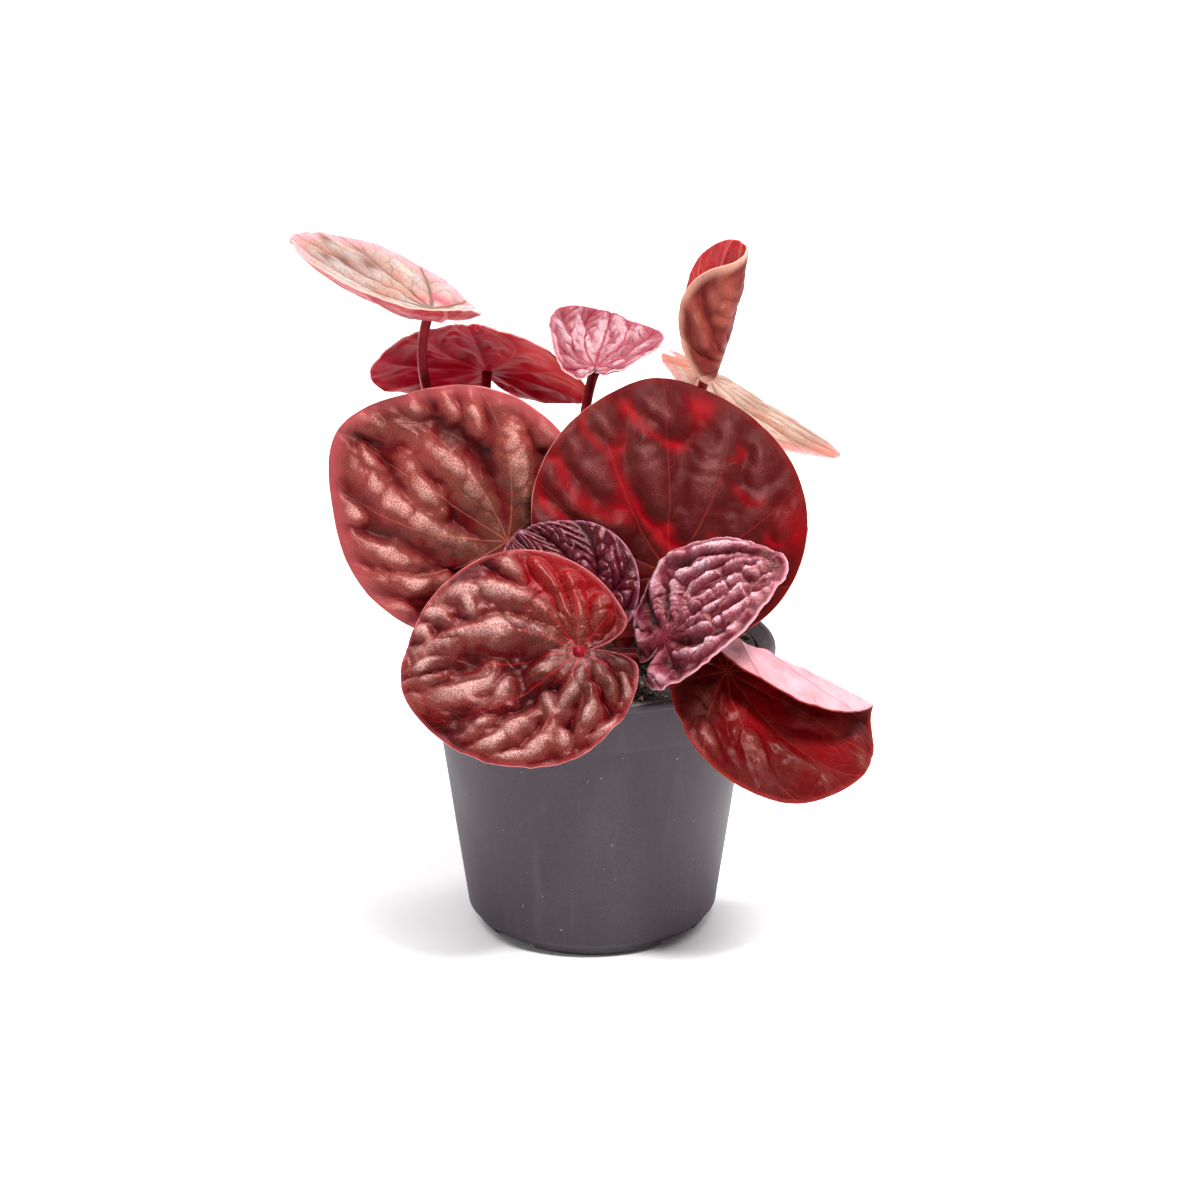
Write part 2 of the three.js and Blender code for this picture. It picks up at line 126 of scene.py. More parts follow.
# ---------------- leaves
#
# The fields from "name" to "heel" are those of the solids.
# look     the name of the blade's colours in LOOKS
# fine     ripple roundness, spacing of the cross grooves, their depth, and small wrinkles
# bow      how much the veins bend towards the tip
# detail   lines between two veins, and rings, of the mesh
# between  height of the plain ripples beside the drawn crests
# knobs    spacing of the swellings along a drawn crest, and their depth
# ragged   how uneven the sides of the drawn crests are
# steep    the direction (x, y) in which they fall off steeply, and how much
# creases  size and depth of the irregular creases across all ripples
# funnel   depth and radius of the dent over the stalk
# brink    how strongly the painted light coming through shows at the foot of the steep sides
# glow     soft spots (x, y, radius) of the flat blade with painted light coming through
# scars    soft spots that are dark or brown

PLAIN_LEAF = dict(
    short_lobes=0, folds=[], heel=None, detail=(20, 48), between=0.35,
    knobs=(5.5, 0.12), ragged=0.22, steep=(0, 0), creases=(4, 0), funnel=(0, 1),
    brink=0, glow=[], scars=[],
)

LEAVES = [
    dict(name="front_left", at=(-3, -42, 85.5), turn=(-170, -7, -48), radius=26.5, ahead=0.48,
         wide=1.03, point=0.08, cup=(10, 15), arch=(-9, -2), ridge=2.8, root=(-93, 16),
         lean=(24, 9), look="bronze", fine=(0.9, 6, 0.45, 0.32), bow=0.45, detail=(24, 64),
         between=0.15, knobs=(6, 0), steep=(0.55, -0.1), creases=(6, 0.15), funnel=(0.55, 3),
         glow=[(13, -4, 9), (22, 3, 9)]),
    dict(name="big_left", at=(-21, 4, 98), turn=(177, 34, -73), radius=31.5, ahead=0.42, wide=0.99,
         point=0.12, cup=(7, 9), arch=(1, -1), ridge=2.9, root=(168, 24), lean=(12, 12),
         look="copper", fine=(1, 9, 0.4, 0.32), bow=0.5, detail=(24, 64), between=0.15,
         knobs=(8, 0.06), steep=(0.4, -0.3), creases=(7, 0.12), scars=[(16.1, 16.7, 1.7)]),
    dict(name="big_right", at=(19, -4, 92), turn=(89, 71, 13), radius=33.5, ahead=0.39, wide=1.04,
         point=0.07, short_lobes=0.35, cup=(6, 10), arch=(-17, -6), ridge=2.2, root=(5, 24),
         lean=(8, 10), look="maroon", fine=(0.6, 14, 0.5, 0.22), bow=0.3, detail=(24, 64),
         between=0.2, knobs=(9, 0.1), ragged=0.13, steep=(-0.25, -0.4), brink=0.95,
         glow=[(9, 42, 4), (-12, 17, 3), (32, 12, 6)]),
    dict(name="young_front", at=(17.5, -40, 88), turn=(-7, 52, 20), radius=21, ahead=0.47,
         wide=1.03, point=0.12, cup=(20, -10), arch=(-33, -16), folds=[(0, 0, 90, 14, 10)],
         ridge=2.1, root=(-62, 16), lean=(20, 10), look="mauve", fine=(0.7, 3, 0.4, 0.55), bow=0.55,
         detail=(24, 72), between=0.5, knobs=(4, 0.1), steep=(-0.35, 0), creases=(3.6, 0.4)),
    dict(name="dark_centre", at=(-1, -25, 90), turn=(148, 37, -42), radius=17, ahead=0.43,
         wide=1.04, point=0.09, cup=(3, 8), arch=(-11, 1), ridge=1.6, root=(-125, 18), lean=(10, 6),
         look="wine", fine=(0.6, 2.8, 0.55, 0.3), bow=0.7, detail=(22, 60), creases=(3, 0.3)),
    dict(name="front_right", at=(32, -36, 78), turn=(1, -29, 37), radius=27, ahead=0.47, wide=1.01,
         point=0.08, cup=(-1, 1), arch=(-10, 9), folds=[(-5, 9, -97, 7, 151)], ridge=1.5,
         root=(-33, 16), lean=(22, 8), look="crimson", fine=(0.8, 8, 0.35, 0.2), bow=0.6,
         detail=(22, 56), between=0.5, glow=[(0, 14, 9), (3, 30, 9), (8, 8, 6)]),
    dict(name="top_left", at=(-40, 17, 153.5), turn=(-167, 17, -11), radius=24.5, ahead=0.46,
         wide=1, point=0.11, cup=(35, 15), arch=(24, 0), folds=[(0, -1, 213, 7, 27)], ridge=0.8,
         root=(150, 58), lean=(40, 30), look="cream_pink", fine=(0.8, 5, 0.35, 0.2), bow=0.6,
         glow=[(7.3, -3.4, 3.4), (4, 1.5, 2.2)],
         scars=[(9, 22.5, 3), (13.5, 15.5, 3.2), (14, 29, 2.3), (4, 29, 2.3)]),
    dict(name="back_left", at=(-27.5, 54, 128.5), turn=(-95, 34, -1), radius=29.5, ahead=0.36,
         wide=1, point=0.08, cup=(-33, -28), arch=(-8, -6), ridge=1, root=(108, 24), lean=(30, 25),
         look="ruby", fine=(0.8, 8, 0.35, 0.15), bow=0.5, glow=[(-25, 12, 13), (-20, 26, 9)]),
    dict(name="top_middle", at=(0.5, 24, 136), turn=(86, 4, 15), radius=17, ahead=0.43, wide=1.05,
         point=0.07, cup=(25, 1), arch=(25, -6), folds=[(-7, 4, 96, 11, 34), (3, 0, 291, 8, 19)],
         ridge=1, root=(98, 60), lean=(30, 20), look="rose", fine=(0.6, 3.6, 0.5, 0.2), bow=0.6,
         between=0.8, knobs=(3, 0), creases=(3.2, 0.3)),
    dict(name="top_right", at=(32.5, 22, 141), turn=(-26, 74, -119), radius=18, ahead=0.56,
         wide=1.05, point=0.09, cup=(1, -3), arch=(-13, -4), folds=[(1, 0, -94, 9, -159)],
         ridge=0.8, root=(10, 56), lean=(30, 20), heel=(0.9, -3, -2.6), look="peach",
         fine=(0.8, 5, 0.35, 0.2), bow=0.7, between=0.6, creases=(5, 0.3)),
    dict(name="far_right", at=(30, 58, 126), turn=(-16, -32, -7), radius=25.5, ahead=0.47,
         wide=0.95, point=0.09, cup=(-14, -9), arch=(8, -6), folds=[(0, 0, 224, 10, -4)], ridge=0.8,
         root=(56, 50), lean=(30, 20), look="cream_orange", fine=(0.8, 6, 0.35, 0.15), bow=0.6,
         glow=[(4, -10, 5), (5, 39, 5), (19, 30, 3)], scars=[(4, -10, 8), (6, 41, 5)]),
    dict(name="rear_left", at=(-26, 42, 90), turn=(125, 15, 5), radius=26, ahead=0.42, wide=1.03,
         point=0.08, cup=(8, 8), arch=(-20, -4), ridge=2, root=(138, 24), lean=(16, 12),
         look="copper", fine=(0.8, 7, 0.4, 0.2), bow=0.7, detail=(16, 40)),
    dict(name="rear_middle", at=(6, 48, 97), turn=(80, 20, -5), radius=28, ahead=0.42, wide=1.02,
         point=0.08, cup=(6, 6), arch=(-18, -4), ridge=2, root=(78, 24), lean=(18, 14),
         look="bronze", fine=(0.8, 6, 0.4, 0.2), bow=0.7, detail=(16, 40)),
    dict(name="rear_right", at=(29, 37, 88), turn=(56, 12, 8), radius=22, ahead=0.42, wide=1.04,
         point=0.08, cup=(8, 10), arch=(-18, -4), ridge=2, root=(38, 24), lean=(16, 12),
         look="maroon", fine=(0.6, 8, 0.5, 0.2), bow=0.6, detail=(16, 40)),
]

# Crests of the big ripples on the blades that are seen best: x and y of where each one starts,
# passes and ends on the flat blade, and its half width.
CRESTS = {
    "front_left": [
        (6, 2, 17.5, 14, 18.5, 32, 3.7), (1.5, 3, 9.5, 18, 5.5, 39.5, 3.9),
        (17.5, 23, 15.5, 22.5, 13, 22, 1.8), (13, 28.5, 16, 31.5, 15.5, 35, 2.6),
        (9, 34, 12, 35, 12.5, 37, 2), (4, 32.5, 4, 36.5, 3, 40.5, 1.8),
        (0.5, 32.5, 0.5, 37, 0, 41.5, 1.8), (-0.5, 20.5, -3.5, 26.5, -3.5, 40, 4.1),
        (-4, 17.5, -6.5, 19.5, -8.5, 22, 2.6), (-1, 4, -2, 7.5, -3.5, 11, 2.8),
        (-13, 13, -16.5, 21, -19, 28.5, 3.2), (-12.5, 23.5, -13.5, 27, -15, 30.5, 2),
        (-17, 10, -21, 14, -24.5, 18.5, 2.6), (-3.5, 0, -9.5, 4, -15, 9.5, 2.6),
        (-10, 9.5, -12.5, 10, -16, 10, 2), (-9.5, -1, -15.5, 1, -21.5, 4.5, 2.6),
        (-4, -3.5, -8.5, -5, -14, -5.5, 2), (-8, -8.5, -12, -9, -15.5, -7, 1.7),
        (-18.5, -5, -20.5, -2.5, -22.5, 1, 2), (-19, 8.5, -21.5, 8, -24, 8, 1.8),
        (-22, 24.5, -22.5, 21, -23, 18, 1.7), (2, -1, 9, -2, 18, -1.5, 1.8),
        (7.5, 0, 15, 2.5, 22.5, 5.5, 1.5), (5.5, -4.5, 8.5, -6.5, 11.5, -7.5, 1.8),
        (19, 10, 23.5, 12, 25, 13.5, 2.3)],
    "big_left": [
        (-0.5, 2, 8, 17.5, 9.5, 38.5, 4.2), (-6, 3.5, -7.5, 24.5, -4, 45, 4.2),
        (5.5, -1.5, 20, 9, 27.5, 20.5, 4.2), (28.5, 3, 29.5, 7.5, 31, 12, 3),
        (20, 20.5, 22.5, 24.5, 25, 27.5, 2.6), (19, 28, 21, 31, 21.5, 33.5, 2.4),
        (16, 35.5, 16, 38, 16.5, 40.5, 2.4), (-17, 15.5, -19, 23.5, -21, 32, 3.2),
        (-16.5, 7.5, -22.5, 15.5, -26.5, 25.5, 3), (-14.5, 33, -15, 36.5, -14.5, 40, 2.4),
        (-2, 36, -1.5, 39.5, -0.5, 42.5, 1.8), (-3, 17.5, 0, 25, 4, 32, 3.4),
        (-28, 11, -29.5, 15, -30.5, 18, 2), (6.5, 41, 6.5, 45, 3.5, 49.5, 2.4)],
    "big_right": [
        (-4, 43.5, -1.5, 40.5, 1.5, 37, 4.6), (-2, 17, -5, 25.5, -5.5, 34, 5.3),
        (5.5, 10.5, 10, 23.5, 15.5, 36.5, 6.2), (-17, 40.5, -15.5, 37, -14, 33.5, 3.4),
        (-23.5, 32, -18.5, 24.5, -13.5, 19, 5.3), (-29, 23.5, -23, 16, -13, 11.5, 3.6),
        (-31.5, 12, -28, 11.5, -25, 9.5, 2.9), (16.5, 10, 20.5, 15.5, 26.5, 21, 5),
        (21, 21.5, 22.5, 27, 22, 31.5, 3.8), (26.5, 10.5, 29, 13, 30.5, 16.5, 2.9),
        (-28, 30, -26.5, 32.5, -23, 35.5, 2.9)],
    "young_front": [
        (-3, 2, -1, 15, -2, 33.5, 1.5), (8, 7.5, 11, 18.5, 8, 30, 1.5), (3, 6, 5.5, 17, 3, 31, 1.2),
        (-2, 5, -12.5, 11.5, -5, 27.5, 1.7), (-3.5, 7, -7, 15, -3.5, 29, 1.2),
        (-9.5, 1, -20, 7, -15.5, 17, 1.6), (-16, 16.5, -13.5, 23, -8.5, 29.5, 1.4),
        (9, 2, 17, 10, 14, 22, 1.5), (3, -3, 9, -6, 16, -2, 2.2), (-4, -3, -8, -7, -15, -4, 2.2)],
    "front_right": [
        (3.5, -1, 10.5, -4, 17.5, -6, 2.4), (17, -2, 19.5, 0.5, 22.5, 4, 2.4),
        (3, 4.5, 9, 6, 15.5, 6.5, 1.6), (12.5, 10, 17.5, 14, 22, 17.5, 2.4),
        (12, 18, 13.5, 22.5, 13.5, 28.5, 2.2), (13.5, 31, 15, 32.5, 16.5, 33.5, 1.6),
        (-1.5, 16, 1, 21.5, -2, 30, 2.6), (-0.5, 37, 2, 39.5, 5, 41, 2.2)],
    "top_middle": [
        (-0.5, 1.5, -4, 9.5, -8.5, 17, 1.9), (0.5, 2.5, -0.5, 14.5, -1, 22, 1.6),
        (1.5, 1, 3.5, 10, 5.5, 18, 1.8), (-6, 5.5, -11.5, 6.5, -16.5, 9, 1.6),
        (4.5, 19, 3, 22, 2, 24, 1.3), (-11.5, -3.5, -13.5, -1.5, -15.5, 1.5, 1.3)],
    "top_right": [
        (-8, 3, -13, 8.5, -17.5, 11.5, 2), (-7, 11, -8.5, 17, -9, 24.5, 3)],
}

# ---------------- colours
# The valley and flank are the leaf's red, made darker as painted shade down in the hollows.
#
# Colours are linear red, green and blue.  On the upper side they go from the sunk veins (valley) up
# the flank of a ridge to its crest, or its heart near the stalk, and to the sheen on top: top is a
# highlight painted on the crests, a painted sheen with painted glints.
# flank_at, crest_at, sheen_at    how far up a ridge those colours begin and are full
# blotch, glow, scar              dark clouds, and the spots listed in LEAVES, where glow is painted
#                                 light coming through the blade
# margin, margin_width, rim       the outer millimetres, and the very edge
# vein, vein_width                the lines, and how thick they are
# veins, branches                 how strongly the veins and their branches show
# under, under_glow, under_vein   the lower side, its spots of painted light coming through, its lines
# under_line, under_net           how strongly all lines and the fine ones show there
# roughness, shine, soft          the gloss, and how much light spreads inside the blade

PLAIN_LOOK = dict(
    flank_at=(0.1, 0.4), crest_at=(0.4, 0.8), sheen_at=(0.84, 1.04),
    glow=(0.3, 0.01, 0.02), scar=(0.012, 0.004, 0.003), margin_width=1.5, vein_width=1,
    under=(0.34, 0.03, 0.045), under_vein=(0.5, 0.14, 0.14), under_line=0.75,
    under_net=0.4, heart=None, rim=None, under_glow=None, shine=0.15, soft=0.25,
)
LOOKS = {
    "bronze": dict(
        valley=(0.026, 0.0003, 0.0006), flank=(0.056, 0.0009, 0.0018), crest=(0.115, 0.022, 0.018),
        heart=(0.06, 0.014, 0.009), top=(0.56, 0.34, 0.31), flank_at=(0.3, 0.52),
        crest_at=(0.5, 0.78), sheen_at=(0.78, 1.04), blotch=(0.08, 0.014, 0.012),
        glow=(0.16, 0.0004, 0.0016), margin=(0.2, 0.025, 0.03), margin_width=1.2,
        rim=(0.42, 0.14, 0.14), vein=(0.36, 0.012, 0.018), vein_width=0.6, veins=0.38, branches=0.1,
        roughness=0.25, shine=0.2, soft=0.04),
    "copper": dict(
        valley=(0.05, 0.001, 0.002), flank=(0.1, 0.0035, 0.005), crest=(0.2, 0.034, 0.028),
        heart=(0.12, 0.03, 0.02), top=(0.75, 0.4, 0.34), flank_at=(0.22, 0.45),
        crest_at=(0.42, 0.75), sheen_at=(0.78, 1), blotch=(0.08, 0.02, 0.016),
        margin=(0.34, 0.065, 0.07), margin_width=5, rim=(0.5, 0.2, 0.18), vein=(0.42, 0.12, 0.08),
        vein_width=0.6, veins=0.45, branches=0, roughness=0.27, shine=0.16, soft=0.04),
    "maroon": dict(
        valley=(0.029, 0.0006, 0.0006), flank=(0.065, 0.0012, 0.0018), crest=(0.05, 0.0045, 0.0048),
        top=(0.17, 0.045, 0.042), flank_at=(0.1, 0.35), crest_at=(0.3, 0.6), sheen_at=(0.7, 1.12),
        blotch=(0.05, 0.008, 0.008), glow=(0.22, 0.001, 0.005), margin=(0.086, 0.0036, 0.0036),
        margin_width=2.5, rim=(0.4, 0.12, 0.09), vein=(0.24, 0.02, 0.014), veins=0.3, branches=0.08,
        under=(0.32, 0.03, 0.04), roughness=0.36, shine=0.07, soft=0.15),
    "mauve": dict(
        valley=(0.025, 0.0006, 0.0016), flank=(0.075, 0.005, 0.01), crest=(0.19, 0.055, 0.072),
        top=(0.75, 0.51, 0.56), flank_at=(0.2, 0.45), crest_at=(0.45, 0.8), sheen_at=(0.7, 1),
        blotch=(0.14, 0.02, 0.035), margin=(0.34, 0.12, 0.15), margin_width=1,
        rim=(0.5, 0.24, 0.28), vein=(0.12, 0.01, 0.018), veins=0.6, branches=0.3,
        under=(0.3, 0.05, 0.08), under_vein=(0.5, 0.2, 0.24), roughness=0.25, shine=0.25, soft=0.1),
    "wine": dict(
        valley=(0.03, 0.001, 0.003), flank=(0.055, 0.003, 0.008), crest=(0.075, 0.008, 0.016),
        top=(0.34, 0.17, 0.24), flank_at=(0.2, 0.5), crest_at=(0.5, 0.95),
        blotch=(0.04, 0.007, 0.013), margin=(0.16, 0.05, 0.08), margin_width=0.8,
        rim=(0.26, 0.1, 0.15), vein=(0.03, 0.003, 0.007), veins=0.6, branches=0.3,
        under=(0.14, 0.012, 0.025), under_vein=(0.3, 0.08, 0.1), roughness=0.22, shine=0.3,
        soft=0.05),
    "crimson": dict(
        valley=(0.058, 0.00056, 0.0013), flank=(0.075, 0.0011, 0.0019), crest=(0.095, 0.016, 0.013),
        top=(0.25, 0.09, 0.08), crest_at=(0.5, 0.9), blotch=(0.065, 0.009, 0.008),
        glow=(0.16, 0.0008, 0.0024), margin=(0.17, 0.012, 0.01), rim=(0.2, 0.015, 0.012),
        vein=(0.22, 0.025, 0.016), vein_width=0.9, veins=0.7, branches=0.15,
        under=(0.5, 0.225, 0.255), under_vein=(0.2, 0.04, 0.06), under_line=0.6, roughness=0.28,
        shine=0.14, soft=0.15),
    "cream_pink": dict(
        valley=(0.19, 0.11, 0.1), flank=(0.25, 0.17, 0.15), crest=(0.26, 0.22, 0.2),
        top=(0.39, 0.29, 0.24), blotch=(0.24, 0.09, 0.05), glow=(0.36, 0.02, 0.05),
        scar=(0.1, 0.04, 0.025), margin=(0.5, 0.2, 0.24), margin_width=5, vein=(0.1, 0.055, 0.035),
        vein_width=2.2, veins=0.85, branches=0.55, under=(0.32, 0.03, 0.04), roughness=0.42),
    "ruby": dict(
        valley=(0.2, 0.01, 0.015), flank=(0.24, 0.02, 0.025), crest=(0.26, 0.05, 0.05),
        top=(0.4, 0.15, 0.14), blotch=(0.13, 0.005, 0.014), glow=(0.38, 0.004, 0.008),
        margin=(0.34, 0.06, 0.06), margin_width=2, vein=(0.4, 0.06, 0.06), vein_width=0.6,
        veins=0.7, branches=0.3, under=(0.3, 0.006, 0.018), under_glow=(0.58, 0.0002, 0.0015),
        under_vein=(0.4, 0.04, 0.055), under_line=0.4, under_net=0.08, roughness=0.42, shine=0.03,
        soft=0.4),
    "rose": dict(
        valley=(0.12, 0.008, 0.018), flank=(0.18, 0.04, 0.055), crest=(0.33, 0.19, 0.21),
        top=(0.46, 0.33, 0.34), blotch=(0.14, 0.027, 0.043), margin=(0.22, 0.035, 0.06),
        vein=(0.16, 0.005, 0.02), vein_width=1.4, veins=0.85, branches=0.5,
        under=(0.34, 0.008, 0.02), under_vein=(0.45, 0.12, 0.15), roughness=0.36),
    "peach": dict(
        valley=(0.1, 0.008, 0.008), flank=(0.15, 0.02, 0.016), crest=(0.27, 0.06, 0.043),
        top=(0.5, 0.29, 0.21), blotch=(0.22, 0.04, 0.02), margin=(0.62, 0.36, 0.27), margin_width=3,
        vein=(0.26, 0.03, 0.02), veins=0.4, branches=0.15, under=(0.42, 0.018, 0.022),
        roughness=0.38),
    "cream_orange": dict(
        valley=(0.14, 0.057, 0.041), flank=(0.19, 0.11, 0.073), crest=(0.27, 0.18, 0.14),
        top=(0.46, 0.38, 0.32), blotch=(0.19, 0.055, 0.03), glow=(0.32, 0.05, 0.03),
        scar=(0.24, 0.075, 0.045), margin=(0.42, 0.14, 0.15), margin_width=4,
        vein=(0.12, 0.045, 0.025), vein_width=2, veins=0.8, branches=0.45, under=(0.42, 0.04, 0.05),
        under_vein=(0.5, 0.18, 0.17), roughness=0.38),
}
RED_GLOSS = (1, 0.58, 0.55, 1)
GRAIN_SHADE = (0.35, 0.25, 0.25)
STALK_TONES = Table(dark=(0.12, 0.001, 0.005), light=(0.2, 0.004, 0.012), root=(0.34, 0.12, 0.08))
POT_TONES = Table(
    dark=(0.035, 0.0235, 0.0325), light=(0.047, 0.034, 0.045), pores=(0.02, 0.013, 0.018),
    streaks=(0.12, 0.1, 0.115), dust=(0.4, 0.36, 0.37),
)
SOIL_TONES = Table(peat=(0.006, 0.004, 0.003), fibres=(0.045, 0.026, 0.015))
BIT_TONES = [  # the share of the bits that are darker, and the colour
    (0.0, (0.012, 0.007, 0.005)), (0.5, (0.045, 0.024, 0.013)), (0.75, (0.14, 0.08, 0.04)),
    (0.9, (0.3, 0.19, 0.1)), (0.97, (0.62, 0.5, 0.36)),
]
CROWN_TONES = Table(dark=(0.08, 0.02, 0.018), light=(0.22, 0.06, 0.045))

# ---------------- small helpers


def seeded(seed):
    """The same random draws as the solids have."""
    state = seed
    while True:
        state = state * 16807 % 2147483647
        yield state / 2147483647


def blend(low, high, share):
    return low + (high - low) * share


def bell(distance, width):
    """1 at no distance, falling smoothly to 0 over a few widths."""
    return np.exp(-((distance / width) ** 2))


def smooth_step(low, high, value):
    t = np.clip((value - low) / (high - low), 0, 1)
    return t * t * (3 - 2 * t)


def value_noise(x, y, scale, seed):
    """Smooth noise from -1 to 1 over the plane, with features of about that scale."""
    size = 64
    lattice = np.random.default_rng(seed).uniform(-1, 1, (size, size))
    column = np.floor(x / scale).astype(int)
    row = np.floor(y / scale).astype(int)
    right = smooth_step(0, 1, x / scale - column)
    up = smooth_step(0, 1, y / scale - row)

    def corner(i, j):
        return lattice[(row + j) % size, (column + i) % size]

    low = blend(corner(0, 0), corner(1, 0), right)
    high = blend(corner(0, 1), corner(1, 1), right)
    return blend(low, high, up)


def full_turn(count):
    """The angles of points spaced evenly round a circle."""
    return 2 * math.pi * np.arange(count) / count


def rings_about_z(radius, z, angle):
    """Points at a radius and a height for each angle about the Z axis."""
    x = radius * np.cos(angle)
    return np.stack([x, radius * np.sin(angle), np.broadcast_to(z, x.shape)], -1)


def turned(profile, angle):
    """A ring of points about the Z axis for each (radius, height) of a profile."""
    radius, z = np.array(profile, float).T[..., None]
    return rings_about_z(radius, z, angle)


def place_object(name, data):
    placed = bpy.data.objects.new(name, data)
    bpy.context.scene.collection.objects.link(placed)
    return placed


def make_mesh(name, points, faces, attributes=None):
    """A smooth-shaded piece from points in millimetres, with float attributes on its points."""
    mesh = bpy.data.meshes.new(name)
    mesh.from_pydata((np.asarray(points) * MM).tolist(), [], faces)
    for key, values in (attributes or {}).items():
        values = np.asarray(values, np.float32)
        single = values.ndim == 1
        layer = mesh.attributes.new(key, "FLOAT" if single else "FLOAT_VECTOR", "POINT")
        layer.data.foreach_set("value" if single else "vector", values.ravel())
    mesh.shade_smooth()
    return place_object(name, mesh)


def add_piece(piece, material, node):
    """Gives a piece its material, and lets it stand for a CAD node."""
    piece.data.materials.clear()
    piece.data.materials.append(material)
    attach(piece, "root")
    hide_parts(node)


def ring_faces(rings, count):
    """Quads between successive closed rings of points."""
    faces = []
    for ring in range(rings - 1):
        for j in range(count):
            a = ring * count + j
            b = ring * count + (j + 1) % count
            faces.append((a, b, b + count, a + count))
    return faces


def closed_skin(rows, ends):
    """Points and faces of rings of points that are closed by a point in the middle of both ends."""
    rings, count = rows.shape[:2]
    total = rings * count
    faces = ring_faces(rings, count)
    for j in range(count):
        following = (j + 1) % count
        faces.append((total, following, j))
        faces.append((total + 1, total - count + j, total - count + following))
    return np.concatenate([rows.reshape(-1, 3), ends]), faces


# ---------------- the shape of a blade


def outline_radius(leaf, theta):
    """A circle round a point ahead of the stalk, with a blunt tip and a narrow notch."""
    offset = leaf.ahead * leaf.radius
    circle = offset * np.cos(theta) + np.sqrt(leaf.radius ** 2 - (offset * np.sin(theta)) ** 2)
    tip = 1 + leaf.point * bell(theta, BLADE.tip_width)
    from_base = math.pi - np.abs(theta)
    lobes = 1 - leaf.short_lobes * bell(from_base, BLADE.lobe_width)
    notch = 1 - BLADE.sinus_depth * bell(from_base, BLADE.sinus_width)
    return circle * tip * lobes * notch


def vein_starts(steps):
    """Start angles of lines that follow the veins, and each one's place between its two veins."""
    place = np.arange(steps) / steps
    starts = [blend(low, high, place) for low, high in zip(VEINS, VEINS[1:])]
    return np.radians(np.concatenate(starts)), np.tile(place, len(starts))


def bowed(leaf, rho, starts):
    """Angles at which lines that leave the stalk at the start angles cross each ring.

    The lines bow towards a point just past the tip, as the veins do.
    """
    angles = np.linspace(0, math.pi, 361)
    outline = outline_radius(leaf, angles)
    focus = BLADE.focus * outline[0]
    rows = []
    for part in rho:
        reach = part * outline
        at_focus = np.arctan2(reach * np.sin(angles), focus - reach * np.cos(angles))
        crossing = np.interp(np.abs(starts), angles + leaf.bow * at_focus, angles)
        rows.append(crossing * np.sign(starts))
    return np.array(rows)


def blade_grid(leaf):
    """Rings of points over the flat blade, on lines that follow the veins.

    rho and outline give how far out each point is and could be, starts and across its line.
    """
    steps, ring_count = leaf.detail
    many = BLADE.outer_count
    starts, across = vein_starts(steps)
    rho = np.concatenate([np.linspace(*BLADE.inner_rings, ring_count - many),
                          np.linspace(*BLADE.outer_rings, many)])
    theta = bowed(leaf, rho, starts)
    rho, starts = np.meshgrid(rho, starts, indexing="ij")
    outline = outline_radius(leaf, theta)
    reach = rho * outline
    return Table(rho=rho, starts=starts, across=np.broadcast_to(across, rho.shape), theta=theta,
                 outline=outline, reach=reach, x=reach * np.sin(theta), y=reach * np.cos(theta))


def ridge_pattern(leaf, seed):
    """Height and phase of each ridge, for the ridges in order from the notch round the blade."""
    draw = seeded(seed)
    half = len(VEINS) // 2
    ridges = [(leaf.ridge * (0.8 + 0.5 * next(draw)), 2 * math.pi * next(draw))
              for _ in range(2 * half)]
    return ridges[:half][::-1] + ridges[half:]


def spread_ridges(theta, ridges):
    """Heights and phases of the ridges, blended from one ridge to the next."""
    edges = np.radians(VEINS)
    middles = (edges[1:] + edges[:-1]) / 2
    return [np.interp(theta, middles, values, period=2 * math.pi) for values in zip(*ridges)]


def blade_noise(kind, x, y, seed):
    scale, step = NOISE[kind]
    return value_noise(x, y, scale, seed + step)


def even_ridges(leaf, seed, grid, wave):
    """How far up the ridge between two veins each point is, and the count of its cross grooves."""
    roundness, spacing, groove_depth, _ = leaf.fine
    x, y, reach = grid.x, grid.y, grid.reach
    inward = 1 - np.abs(2 * grid.across - 1)
    wander = 0.35 * blade_noise("wander", x, y, seed) + 0.2 * blade_noise("jitter", x, y, seed)
    branches = reach * (1 - 0.3 * inward) / spacing + wander
    groove = bell(branches - np.round(branches), RIPPLE.groove_width)
    groove *= smooth_step(*RIPPLE.grooves_from, reach / leaf.radius)
    crest = np.sin(math.pi * grid.across) ** roundness * (1 - groove_depth * groove)
    return crest * (0.8 + 0.2 * np.cos(2 * math.pi * RIPPLE.waves * grid.rho + wave)), branches


def ridge_line(crest):
    """Points of the curve through a crest's start, middle and end, and how far along they are."""
    start, middle, end = np.reshape(crest[:6], (3, 2))
    t = np.linspace(0, 1, RIDGE.steps)[:, None]
    return (1 - t) * (1 - 2 * t) * start + 4 * t * (1 - t) * middle - t * (1 - 2 * t) * end, t[:, 0]


